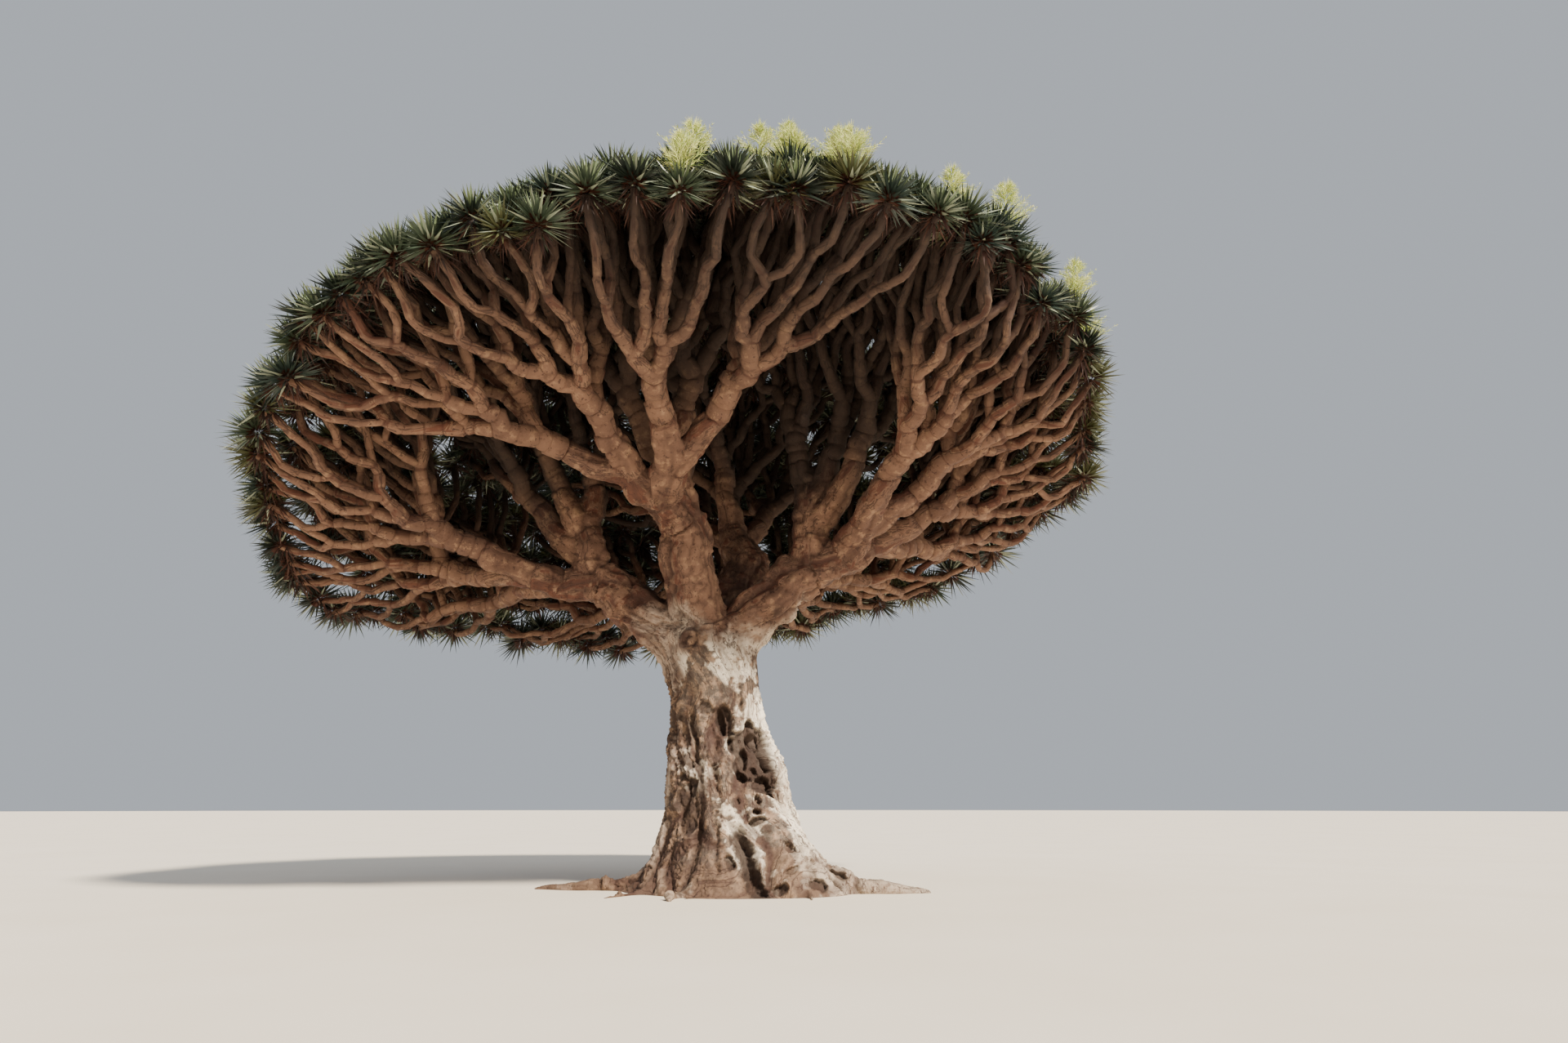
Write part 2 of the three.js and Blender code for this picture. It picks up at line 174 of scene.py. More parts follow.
# %% A finish: one material and the nodes that make it
class Finish:
    def __init__(self, name, roughness=0.8):
        self.material = bpy.data.materials.new(name)
        self.material.use_nodes = True
        self.tree = self.material.node_tree
        self.surface = self.tree.nodes["Principled BSDF"]
        self.surface.inputs["Roughness"].default_value = roughness
        self.place = self.node("ShaderNodeTexCoord", out="Object")

    def node(self, kind, settings=None, values=None, out=0):
        """A node with its settings, then its sockets' values or links."""
        node = self.tree.nodes.new(kind)
        for name, value in (settings or {}).items():
            setattr(node, name, value)
        for name, value in (values or {}).items():
            self.feed(node.inputs[name], value)
        return Value(self, node.outputs[out])

    def feed(self, socket, value):
        """Link a value, or set a number or a colour's three display levels."""
        if isinstance(value, Value):
            self.tree.links.new(value.socket, socket)
        else:
            socket.default_value = colour(*value) if isinstance(value, tuple) else value

    def maths(self, operation, first, second):
        return self.node("ShaderNodeMath", {"operation": operation}, {0: first, 1: second})

    def mix(self, share, first, second):
        """One colour over another: sockets 6 and 7 and output 2 are the Mix node's colours."""
        return self.node("ShaderNodeMix", {"data_type": "RGBA"}, {0: share, 6: first, 7: second}, out=2)

    def layered(self, base, *layers):
        """A colour under layers, each of them a share and a colour."""
        for share, tint in layers:
            base = self.mix(share, base, tint)
        return base

    def noise(self, scale, detail=4, roughness=0.55, place=None):
        return self.node("ShaderNodeTexNoise", None, {
            "Vector": place or self.place, "Scale": scale, "Detail": detail, "Roughness": roughness})

    def rise(self, value, low, high):
        """0 below low and 1 above high."""
        return self.node("ShaderNodeMapRange", {"interpolation_type": "SMOOTHSTEP"}, {
            "Value": value, "From Min": low, "From Max": high})

    def contour(self, value, level, half_width):
        """1 where a value crosses a level, and 0 on either side."""
        return 1 - self.rise(self.maths("ABSOLUTE", value - level, 0), 0, half_width)

    def mask(self, name):
        """A number that was painted on the mesh."""
        return self.node("ShaderNodeAttribute", {"attribute_name": name}, out="Fac")

    def wear(self, base, roughness=None, height=None, distance=0.01, strength=1):
        """Feed the surface and give back its material."""
        self.feed(self.surface.inputs["Base Color"], base)
        if roughness is not None:
            self.feed(self.surface.inputs["Roughness"], roughness)
        if height is not None:
            bump = self.node("ShaderNodeBump", None, {
                "Height": height, "Distance": distance, "Strength": strength})
            self.feed(self.surface.inputs["Normal"], bump)
        return self.material


# %% The floor
FLOOR_RADIUS = 160
FLOOR_COLOURS = ((226, 214, 196), (236, 227, 212))

paint = Finish("pale_floor", roughness=0.9)
cloudy = paint.mix(paint.noise(0.6, detail=3), *FLOOR_COLOURS)
bm = bmesh.new()
bmesh.ops.create_circle(bm, cap_ends=True, segments=96, radius=FLOOR_RADIUS)
floor = new_object("floor", mesh_from(bm, "floor"))
grit = paint.noise(40, detail=2)
floor.data.materials.append(paint.wear(cloudy, height=grit, distance=0.002, strength=0.3))
print("floor:", FLOOR_RADIUS, "m")

# %% [markdown]
# ## The crown's rule
#
# The crown is shared out as cells. A cell is a range of azimuth and a range of area, and a fork splits a
# cell in two, so every twig heads for a place of its own and no two grow into each other. This is the
# rule that the solids grow by, in metres, with the same seeds, so the boughs land on the solids. Only for
# the last shoots, which the solids don't reach, the rule also counts how steeply the dome falls away.

# %% Numbers that always come out the same
TURN = 2 * math.pi


def chance(seed, use):
    wave = math.sin(seed * 12.9898 + use * 78.233) * 43758.5453
    return wave - math.floor(wave)


def spread(seed, use):
    return 2 * chance(seed, use) - 1


def lerp(low, high, share):
    return low + (high - low) * share


def polar(azimuth, radius):
    return Vector((radius * math.cos(azimuth), radius * math.sin(azimuth), 0))


def turn_between(first, second):
    return (second - first + math.pi) % TURN - math.pi


# %% The umbrella that the tips aim at
UP = Vector((0, 0, 1))
CROWN_CENTRE = (-0.59, 0.18)
CROWN_RADIUS = 4.48
CROWN_OVAL = 0.035
OVAL_SIDE = math.radians(-2)
CROWN_WAVES = ((5, 0.014), (11, 0.012))
RIM_HEIGHT = 4.36
RIM_RISE = 1.26
HIGH_SIDE = math.radians(295)
SADDLE = 0.1
SADDLE_SIDE = math.radians(279)
DOME_HEIGHT = 2.32
DOME_POWER = 2.2
DROOP = 0.2
DROOP_SIDE = math.radians(172)
DROOP_WIDTH = math.radians(27)
RIM_AIM = 0.88
FIRST_SHOOT = 256
DOME_SLOPE = 1.6
AIM_SPREAD = 0.12
AIM_RISE = 0.1
CUT_SPREAD = 0.05


def crown_point(azimuth, reach):
    droop = math.exp(-((turn_between(DROOP_SIDE, azimuth) / DROOP_WIDTH) ** 2))
    height = (RIM_HEIGHT + RIM_RISE * reach * math.cos(azimuth - HIGH_SIDE)
              + SADDLE * reach ** 2 * math.cos(2 * (azimuth - SADDLE_SIDE))
              + DOME_HEIGHT * (1 - reach ** DOME_POWER) - DROOP * droop * reach ** 3)
    wave = 1 + sum(size * math.sin(count * azimuth) for count, size in CROWN_WAVES)
    wave += CROWN_OVAL * math.cos(2 * (azimuth - OVAL_SIDE))
    return polar(azimuth, CROWN_RADIUS * wave * reach) + Vector((*CROWN_CENTRE, height))


# %% Cells and their halves
def make_cell(seed, azimuth, area, parent=None):
    outward = RIM_AIM if area[1] == 1 else 0.5
    aim_azimuth = lerp(*azimuth, 0.5 + AIM_SPREAD * spread(seed, 1))
    aim_reach = math.sqrt(lerp(*area, outward + AIM_SPREAD * spread(seed, 2)))
    aim = crown_point(aim_azimuth, aim_reach) + UP * (AIM_RISE * spread(seed, 7))
    return {"seed": seed, "azimuth": azimuth, "area": area, "aim": aim,
            "aim_azimuth": aim_azimuth, "aim_reach": aim_reach, "parent": parent}


def halves(cell, share):
    seed = cell["seed"]
    reach = [math.sqrt(area) for area in cell["area"]]
    arc = sum(reach) / 2 * (cell["azimuth"][1] - cell["azimuth"][0])
    slope = DOME_SLOPE if seed >= FIRST_SHOOT else 1
    way = "azimuth" if arc > slope * (reach[1] - reach[0]) else "area"
    flip = chance(seed, 3) < 0.5
    low, high = cell[way]
    cut = lerp(low, high, (share if flip else 1 - share) + CUT_SPREAD * spread(seed, 4))
    pair = [(low, cut), (cut, high)] if flip else [(cut, high), (low, cut)]
    return [make_cell(2 * seed + i, **{"azimuth": cell["azimuth"], "area": cell["area"], way: part},
                      parent=cell) for i, part in enumerate(pair)]


# %% [markdown]
# ## Limbs
#
# Dragon blood trees fork in two and never otherwise: a shoot flowers, stops, and two buds beside it go
# on. So a limb is a run of stretches between forks, near enough one thickness, and it thins only where it
# forks, by the number of tips that it bears.

# %% How a stretch leaves its fork
# side, masses, the azimuths it starts and stops at, first fork
GREAT_LIMBS = (
    ("left", 6, 138, 214, (-1.54, 0.09, 3.23)),
    ("front", 7, 214, 305, (-0.67, -0.43, 3.85)),
    ("right", 7, 305, 392, (0.8, -0.03, 3.43)),
    ("back", 8, 32, 138, (0.06, 0.76, 3.56)),
)
FORK_HEART = Vector((-0.3, 0, 2.3))
FORK_CAMBER = 0.06
FIRST_SHARE = 0.25
BOUGH_END_SHARE = 0.55
LAST_STRETCH = 1.6
ELBOW_AT = 0.42
FORK_PUSH = 0.35
TWIG_PUSH = 0.62
LEAVING_TURN = 0.5
ARRIVING_TURN = 0.8
TIP_RADIUS = 0.042
PIPE_POWER = 2.9
TIPS_PER_MASS = 34
RIM_TIPS = 40
INNER_TIPS = 28
FORK_NECK = 0.94
STRETCH_TAPER = 0.9


def heading_of(points):
    return (points[-1] - points[-2]).normalized()


def pipe_radius(tips):
    return TIP_RADIUS * tips ** (1 / PIPE_POWER)


def step_share(left, ends):
    return left / (math.ceil(math.log2(ends)) + LAST_STRETCH) if ends > 1 else left


def stretch(start, heading, part, cell, other=None, push=FORK_PUSH):
    way = cell["aim"] - start
    length = part * way.length
    way.normalize()
    leaving = heading.copy()
    arriving = heading.lerp(way, ARRIVING_TURN if part < 1 else 1)
    if other:
        apart = (cell["aim"] - other["aim"]).normalized()
        leaving = heading.lerp(way, LEAVING_TURN) + apart * push
        arriving = arriving + apart * (push / 2 if part < 1 else 0)
    return [start + leaving.normalized() * ELBOW_AT * length, start + arriving.normalized() * length]


# %% Growing a limb with all that forks off it
def grow_limb(limb, cell, ends, tips_per_end, share, end_share, limbs):
    limbs.append(limb)
    push = FORK_PUSH if end_share < 1 else TWIG_PUSH
    while ends > 1:
        first = math.ceil(ends / 2)
        rest = ends - first
        near, far = halves(cell, first / ends)
        fork = limb["points"][-1]
        heading = heading_of(limb["points"])
        far_step = step_share(end_share - share, rest)
        far_girth = pipe_radius(rest * tips_per_end)
        offshoot = {
            "side": limb["side"],
            "points": [fork, *stretch(fork, heading, far_step / (1 - share), far, near, push)],
            "radii": [far_girth * FORK_NECK, far_girth, far_girth * STRETCH_TAPER],
        }
        grow_limb(offshoot, far, rest, tips_per_end, share + far_step, end_share, limbs)
        near_step = step_share(end_share - share, first)
        near_girth = pipe_radius(first * tips_per_end)
        limb["points"] += stretch(fork, heading, near_step / (1 - share), near, far, push)
        limb["radii"] += [near_girth, near_girth * STRETCH_TAPER]
        share += near_step
        cell = near
        ends = first
    limb["cell"] = cell


def grow_boughs():
    boughs = []
    for i, (side, ends, start, stop, crotch) in enumerate(GREAT_LIMBS):
        girth = pipe_radius(ends * TIPS_PER_MASS)
        fork = Vector(crotch)
        rise = FORK_HEART.lerp(fork, 0.5) + UP * FORK_CAMBER
        limb = {"side": side, "points": [FORK_HEART, rise, fork],
                "radii": [girth, girth, girth * FORK_NECK]}
        cell = make_cell(i + 4, (math.radians(start), math.radians(stop)), (0, 1))
        grow_limb(limb, cell, ends, TIPS_PER_MASS, FIRST_SHARE, BOUGH_END_SHARE, boughs)
    return boughs


def grow_twigs(bough):
    """The twigs of one mass of foliage, from the end of its bough to its tips, which are most at the rim."""
    start = bough["points"][-1]
    heading = heading_of(bough["points"])
    girth = STRETCH_TAPER * pipe_radius(TIPS_PER_MASS)
    tips = RIM_TIPS if bough["cell"]["area"][1] == 1 else INNER_TIPS
    step = step_share(1 - BOUGH_END_SHARE, tips)
    way = stretch(start, heading, step / (1 - BOUGH_END_SHARE), bough["cell"])
    stem = {"side": bough["side"], "points": [start, *way], "radii": [girth] * 3}
    twigs = []
    grow_limb(stem, bough["cell"], tips, 1, BOUGH_END_SHARE + step, 1, twigs)
    for twig in twigs:
        twig["mass"] = bough["cell"]
    return twigs


boughs = grow_boughs()
twigs = [twig for bough in boughs for twig in grow_twigs(bough)]
print("boughs:", len(boughs), "twigs:", len(twigs))

# %% [markdown]
# ## From points to paths
#
# The few points of a limb are joined by a smooth curve that is easy on uneven spacing. A real bough also
# wanders a little, a few centimetres to either side, so every path is moved by one gentle noise. The
# noise depends on place alone, so limbs that meet at a fork still meet after it. Its seed is set first, as
# it would otherwise be taken from the clock.

# %% Smooth and slightly wandering paths
PATH_STEP = 0.02
WANDERS = ((1.7, 0.06), (3.5, 0.055), (7.5, 0.018))
WANDER_SEED = 5
noise.seed_set(WANDER_SEED)


def wander(point):
    for scale, size in WANDERS:
        point = point + noise.noise_vector(point * scale) * size
    return point


def smooth_path(limb):
    """Close points along a centripetal Catmull-Rom curve, with the radius at each."""
    points = limb["points"]
    ends = [2 * points[0] - points[1], *points, 2 * points[-1] - points[-2]]
    path = []
    girths = []
    for i, radius in enumerate(limb["radii"][:-1]):
        p0, p1, p2, p3 = ends[i:i + 4]
        before, along, after = [math.sqrt((b - a).length) for a, b in ((p0, p1), (p1, p2), (p2, p3))]
        leaving = ((p1 - p0) / before - (p2 - p0) / (before + along) + (p2 - p1) / along) * along
        arriving = ((p2 - p1) / along - (p3 - p1) / (along + after) + (p3 - p2) / after) * along
        count = max(2, round((p2 - p1).length / PATH_STEP))
        for j in range(count):
            t = j / count
            path.append(p1 * (2 * t ** 3 - 3 * t * t + 1) + leaving * (t ** 3 - 2 * t * t + t)
                        + p2 * (3 * t * t - 2 * t ** 3) + arriving * (t ** 3 - t * t))
            girths.append(lerp(radius, limb["radii"][i + 1], t))
    path.append(points[-1])
    girths.append(limb["radii"][-1])
    return np.array([wander(point) for point in path]), np.array(girths)


for limb in boughs + twigs:
    limb["path"], limb["girths"] = smooth_path(limb)
    steps = np.linalg.norm(np.diff(limb["path"], axis=0), axis=1)
    limb["along"] = np.concatenate([[0], np.cumsum(steps)])
print("metres of bough:", round(sum(limb["along"][-1] for limb in boughs)),
      "metres of twig:", round(sum(limb["along"][-1] for limb in twigs)))


# %% [markdown]
# ## Growth rings
#
# Each year's growth ends in a crease, so a branch looks like a string of sausages. The creases stand a
# hand's breadth or two apart. On the twigs they are real notches, with a ring of vertices at each side.

# %% Links between creases
LINK_LENGTH = (0.1, 0.22)
LINK_USE = 11


def creases(limb, seed):
    """The distances along a limb at which its creases stand."""
    length = limb["along"][-1]
    marks = [0.0]
    while marks[-1] < length - LINK_LENGTH[0]:
        marks.append(marks[-1] + lerp(*LINK_LENGTH, chance(seed, LINK_USE + len(marks))))
    return np.array([*marks[:-1], length]) if len(marks) > 1 else np.array([0, length])


for i, limb in enumerate(boughs + twigs):
    limb["creases"] = creases(limb, i)
print("creases:", sum(len(limb["creases"]) for limb in boughs + twigs))


# %% Tubes from paths
def tube_mesh(name, runs, resolution):
    """One mesh of round tubes, each along a run of points with a radius at each."""
    curve = bpy.data.curves.new(name, "CURVE")
    curve.dimensions = "3D"
    curve.bevel_depth = 1
    curve.bevel_resolution = resolution
    curve.use_fill_caps = True
    for path, girths in runs:
        spline = curve.splines.new("POLY")
        spline.points.add(len(path) - 1)
        spline.points.foreach_set("co", np.column_stack([path, np.ones(len(path))]).ravel())
        spline.points.foreach_set("radius", girths)
    carrier = bpy.data.objects.new(name, curve)
    mesh = bpy.data.meshes.new_from_object(carrier)
    bpy.data.objects.remove(carrier)
    bpy.data.curves.remove(curve)
    return mesh


# %% [markdown]
# ## The bole
#
# The bole is a tall cylinder whose rings follow a measured profile: wide at the ground, waisted at two
# metres, and swelling again under the fork. Ridges at its foot run out into roots.

# %% The trunk's profile
TRUNK_HEIGHT = 2.92
TRUNK_PROFILE = (
    (0, 0.84), (0.33, 0.745), (0.74, 0.64), (1.16, 0.56), (1.6, 0.485),
    (2, 0.48), (2.4, 0.51), (2.6, 0.46), (2.78, 0.35), (TRUNK_HEIGHT, 0.16),
)
TRUNK_LEAN = -0.125
# azimuth, swell, height
RIDGES = (
    (335, 0.4, 0.33), (188, 0.33, 0.3), (252, 0.23, 0.42), (300, 0.19, 0.52),
    (30, 0.26, 0.3), (92, 0.3, 0.32), (140, 0.22, 0.3),
)
RIDGE_SHARPNESS = 6
# azimuth, reach, radius, bend
SURFACE_ROOTS = (
    (337, 2.05, 0.19, 14), (186, 2.15, 0.15, -10), (236, 1.5, 0.12, 12),
    (95, 1.75, 0.15, 12), (32, 1.5, 0.13, -12),
)
FINE_ROOTS = (
    (318, 1.45, 0.085, -16), (350, 1.5, 0.08, 15), (205, 1.6, 0.09, 16), (172, 1.55, 0.085, -14),
    (262, 1.2, 0.08, -12), (288, 1.15, 0.075, 14), (64, 1.3, 0.09, 12), (120, 1.45, 0.09, -14),
    (12, 1.3, 0.08, 12), (146, 1.4, 0.08, 12),
)
ROOT_START = 0.25
ROOT_WANDERS = 0.5
ROOT_STEPS = 60
ROOT_RISE = 0.9
BELOW_GROUND = 0.12


def trunk_radius(azimuth, z):
    radius = np.interp(z, *zip(*TRUNK_PROFILE))
    for side, swell, height in RIDGES:
        facing = np.maximum(0, np.cos(azimuth - math.radians(side)))
        radius = radius + swell * np.exp(-np.maximum(z, 0) / height) * facing ** RIDGE_SHARPNESS
    return radius


# %% The bole and its roots
BOLE_SIDES = 96
BOLE_RINGS = 80


def bole_mesh():
    bm = bmesh.new()
    bmesh.ops.create_cone(bm, cap_ends=True, segments=BOLE_SIDES, radius1=1, radius2=1, depth=1)
    upright = [edge for edge in bm.edges if abs(edge.verts[0].co.z - edge.verts[1].co.z) > 0.5]
    bmesh.ops.subdivide_edges(bm, edges=upright, cuts=BOLE_RINGS - 1, use_grid_fill=True)
    for vertex in bm.verts:
        azimuth = math.atan2(vertex.co.y, vertex.co.x)
        z = lerp(-BELOW_GROUND, TRUNK_HEIGHT, vertex.co.z + 0.5)
        vertex.co = polar(azimuth, trunk_radius(azimuth, z)) + Vector((TRUNK_LEAN * z, 0, z))
    return mesh_from(bm, "bole")


def root_run(azimuth, reach, radius, bend):
    """A root that leaves the flare, thins, wanders to its sides and sinks into the ground."""
    shares = np.linspace(ROOT_START, 1, ROOT_STEPS)
    path = []
    for share in shares:
        heading = math.radians(azimuth + bend * share * share)
        point = polar(heading, reach * share) + UP * (ROOT_RISE * radius * (1 - share))
        aside = wander(point)
        path.append(Vector((aside.x, aside.y, point.z)) if share > ROOT_WANDERS else point)
    return np.array(path), radius * (1 + ROOT_START - shares)


roots = [root_run(*row) for row in SURFACE_ROOTS + FINE_ROOTS]
root_points = np.concatenate([path for path, _ in roots])
print("roots:", len(roots))

# %% [markdown]
# ## One skin over trunk and boughs
#
# Real limbs flow into each other. So the bole, the roots and the tubes of the boughs are joined and
# wrapped in one voxel skin, which is smoothed until the crotches are soft. The trunk is wrapped again in
# finer voxels, as it carries the smallest carving, and each skin is cut level where the other takes over.

# %% Wrapping and smoothing
TRUNK_VOXEL = 0.0148
BOUGH_VOXEL = 0.0235
TRUNK_TOP = 2.78
BOUGH_FOOT = 2.7
TUBE_OVERLAP = 0.12
BOUGH_RESOLUTION = 8
ROOT_RESOLUTION = 6


def wrapped(name, meshes, voxel):
    bm = bmesh.new()
    for mesh in meshes:
        bm.from_mesh(mesh)
    joined = mesh_from(bm, name)
    carrier = new_object(name, joined)
    skin = carrier.modifiers.new("skin", "REMESH")
    skin.mode = "VOXEL"
    skin.voxel_size = voxel
    graph = bpy.context.evaluated_depsgraph_get()
    mesh = bpy.data.meshes.new_from_object(carrier.evaluated_get(graph))
    bpy.data.objects.remove(carrier)
    bpy.data.meshes.remove(joined)
    return mesh


def soften(bm, rounds, low=-math.inf, high=math.inf):
    part = [vertex for vertex in bm.verts if low < vertex.co.z < high]
    for _ in range(rounds):
        bmesh.ops.smooth_vert(bm, verts=part, factor=0.5, use_axis_x=True, use_axis_y=True, use_axis_z=True)


def cut_level(bm, z, keep_above):
    """Cut everything off on one side of a level plane and close the cut."""
    geometry = [*bm.verts, *bm.edges, *bm.faces]
    cut = bmesh.ops.bisect_plane(bm, geom=geometry, dist=1e-5, plane_co=(0, 0, z), plane_no=(0, 0, 1),
                                 clear_inner=keep_above, clear_outer=not keep_above)
    rim = [part for part in cut["geom_cut"] if isinstance(part, bmesh.types.BMEdge)]
    bmesh.ops.holes_fill(bm, edges=rim, sides=0)


bough_runs = [(limb["path"], limb["girths"]) for limb in boughs]
solid_forms = [bole_mesh(), tube_mesh("boughs", bough_runs, BOUGH_RESOLUTION),
               tube_mesh("roots", roots, ROOT_RESOLUTION)]
trunk_skin = wrapped("trunk_skin", solid_forms, TRUNK_VOXEL)
bough_skin = wrapped("bough_skin", solid_forms, BOUGH_VOXEL)
print("trunk skin faces:", len(trunk_skin.polygons), "bough skin faces:", len(bough_skin.polygons))

# %% [markdown]
# ## Reading the bark's place
#
# Relief follows the limb: creases go round it and cords of bark run along it. So each vertex of the skin
# looks up the nearest point of a limb's path, and takes from it how far along the limb it is, how thick
# the limb is, and where its middle lies.

# %% Nearest point of a limb
FORK_STAIN = 0.17


def tree_of(points):
    finder = kdtree.KDTree(len(points))
    for i, point in enumerate(points):
        finder.insert(point, i)
    finder.balance()
    return finder


def nearest(finder, points):
    """The index of the nearest stored point to each point, and its distance."""
    found = [finder.find(point)[1:] for point in points.tolist()]
    return np.array([index for index, _ in found]), np.array([gap for _, gap in found])


bough_points, bough_along, bough_girths = [
    np.concatenate([limb[part] for limb in boughs]) for part in ("path", "along", "girths")]
bough_number = np.concatenate([np.full(len(limb["path"]), i) for i, limb in enumerate(boughs)])
bough_finder = tree_of(bough_points)
root_finder = tree_of(root_points)
fork_finder = tree_of([limb["path"][0] for limb in boughs[1:] + twigs if limb["points"][0] != FORK_HEART])
print("bough points:", len(bough_points))


# %% Noise and easing over many points at once
def noise_at(points, scale, squeeze=(1, 1, 1)):
    return np.array([noise.noise(point) for point in (points * scale * np.array(squeeze)).tolist()])


def ease(values, low, high):
    """0 below low and 1 above high."""
    share = np.clip((values - low) / (high - low), 0, 1)
    return share * share * (3 - 2 * share)


def fade(values, low, high):
    """1 below low and 0 above high."""
    return 1 - ease(values, low, high)


# %% [markdown]
# ## Carving the trunk
#
# The trunk is old and eaten. On its sunny side lie a tall oval hollow, a slot, a great ragged hollow with
# smaller holes under it, a deep gap between two root lobes and holes along the foot; on its shaded side a
# scoop and strips of lost bark. Each is a pit or groove at an azimuth and a height. They are pressed into
# the trunk, on its front straight back, and all relief dies away at the very foot, so the base lies flat.

# %% Pits, grooves and knots
# azimuth, height, width, tall, depth, lean
PITS = (
    (281, 1.71, 0.21, 0.4, 0.1, 4), (278, 1.68, 0.09, 0.3, 0.08, 4), (304, 1.84, 0.06, 0.34, 0.06, -14),
    (318, 1.34, 0.64, 0.76, 0.14, -8), (318, 1.5, 0.26, 0.18, 0.09, 0), (332, 1.34, 0.3, 0.34, 0.15, -12),
    (300, 1.34, 0.12, 0.26, 0.1, -10), (310, 1.2, 0.12, 0.12, 0.07, 30), (312, 1.05, 0.36, 0.2, 0.12, 4),
    (294, 1.14, 0.1, 0.13, 0.08, 30), (302, 0.89, 0.07, 0.12, 0.08, 0), (298, 0.78, 0.11, 0.08, 0.09, 0),
    (296, 0.69, 0.2, 0.08, 0.08, 6), (236, 0.84, 0.34, 0.64, 0.08, -4),
    (261, 1.83, 0.2, 0.2, 0.05, 0), (239, 1.14, 0.14, 0.5, 0.06, 0), (265, 1.2, 0.1, 0.28, 0.07, 6),
    (265, 0.78, 0.05, 0.05, 0.05, 0), (285, 0.9, 0.06, 0.1, 0.05, 0), (228, 1.55, 0.16, 0.24, 0.04, 0),
    (296, 0.06, 0.17, 0.11, 0.08, 0), (306, 0.2, 0.15, 0.08, 0.06, 20), (316, 0.08, 0.2, 0.12, 0.09, 0),
    (322, 0.26, 0.13, 0.06, 0.05, 30), (328, 0.08, 0.15, 0.1, 0.08, 0), (335, 0.16, 0.13, 0.09, 0.07, 0),
    (312, 0.42, 0.1, 0.16, 0.06, 30), (322, 0.5, 0.08, 0.13, 0.05, 30), (272, 0.3, 0.12, 0.2, 0.08, 10),
    (120, 1.55, 0.2, 0.4, 0.14, 8), (62, 1.15, 0.24, 0.3, 0.15, -8), (90, 0.75, 0.12, 0.16, 0.09, 0),
    (165, 1.2, 0.16, 0.36, 0.1, 6), (20, 1.75, 0.12, 0.26, 0.09, -8), (195, 0.8, 0.16, 0.3, 0.09, 0),
    (350, 0.85, 0.11, 0.18, 0.08, 0),
)
# azimuth, height, width, tall, rise
BULGES = (
    (345, 1.2, 0.6, 0.62, 0.09), (318, 1.58, 0.5, 0.16, 0.03), (192, 1.42, 0.4, 0.4, 0.05),
    (230, 1.86, 0.5, 0.2, 0.03), (265, 0.5, 0.3, 0.7, 0.05), (312, 0.6, 0.4, 0.7, 0.05),
)
# width, depth, then the azimuth and height of each point
GROOVES = (
    (0.05, 0.075, ((240, 1.95), (245, 1.35), (250, 0.9), (248, 0.5), (241, 0))),
    (0.085, 0.2, ((280, 0.72), (282, 0.38), (286, 0))),
    (0.032, 0.04, ((270, 1.6), (268, 1.2), (264, 0.7), (262, 0.3))),
    (0.04, 0.05, ((333, 1.05), (322, 0.5), (315, 0.1))),
    (0.035, 0.035, ((222, 1.9), (228, 1.2), (224, 0.6), (219, 0.1))),
    (0.03, 0.03, ((300, 2.4), (306, 2), (305, 1.6))),
    (0.05, 0.07, ((115, 1.4), (118, 0.7), (115, 0))),
    (0.045, 0.06, ((70, 1), (62, 0.5), (60, 0))),
    (0.045, 0.06, ((165, 1.1), (163, 0.6), (165, 0))),
    (0.04, 0.05, ((15, 1.6), (8, 0.9), (3, 0))),
    (0.035, 0.04, ((200, 1.7), (204, 1), (208, 0.2))),
    (0.03, 0.035, ((40, 2.1), (46, 1.5), (45, 0.8))),
)
# place, radius, rise
KNOTS = (
    ((-0.48, -0.48, 2.53), 0.14, 0.075), ((-0.68, -0.4, 2.17), 0.1, 0.05),
    ((-0.5, -0.52, 2.15), 0.09, 0.045),
    ((0.25, 0.35, 2.4), 0.1, 0.05), ((-0.6, 0.42, 1.9), 0.12, 0.05), ((0.2, -0.38, 2.05), 0.06, 0.02),
    ((-1.25, 0.1, 2.75), 0.1, 0.04), ((0.42, -0.25, 2.9), 0.08, 0.03),
)
RIM = 0.014
RIM_AT = 1.2
RIM_WIDTH = 0.15
SMALL_PIT = 0.15
PIT_WARP = 0.42
PIT_RAGS = 0.34
PIT_WALL = (0.6, 0.85)
GROOVE_RAGS = 0.03
GROOVE_FOOT = 0.15
GROOVE_HEAD = 0.1
GROUND_GROOVE_HEAD = 0.25
CREASE_WIDTH = 0.02
TRUNK_FADES = (2.45, 2.95)


def arc_from(side, azimuth, reach):
    """How far round the trunk each point lies from an azimuth, in metres."""
    return turn_between(side, azimuth) * reach


def bulge(azimuth, z, reach):
    """How far the swellings of the trunk stand out at each point, in metres."""
    rise = np.zeros(len(z))
    for side, height, width, tall, swell in BULGES:
        across = arc_from(math.radians(side), azimuth, reach) / (width / 2)
        rise += swell * np.exp(-(across ** 2 + ((z - height) / (tall / 2)) ** 2))
    return rise


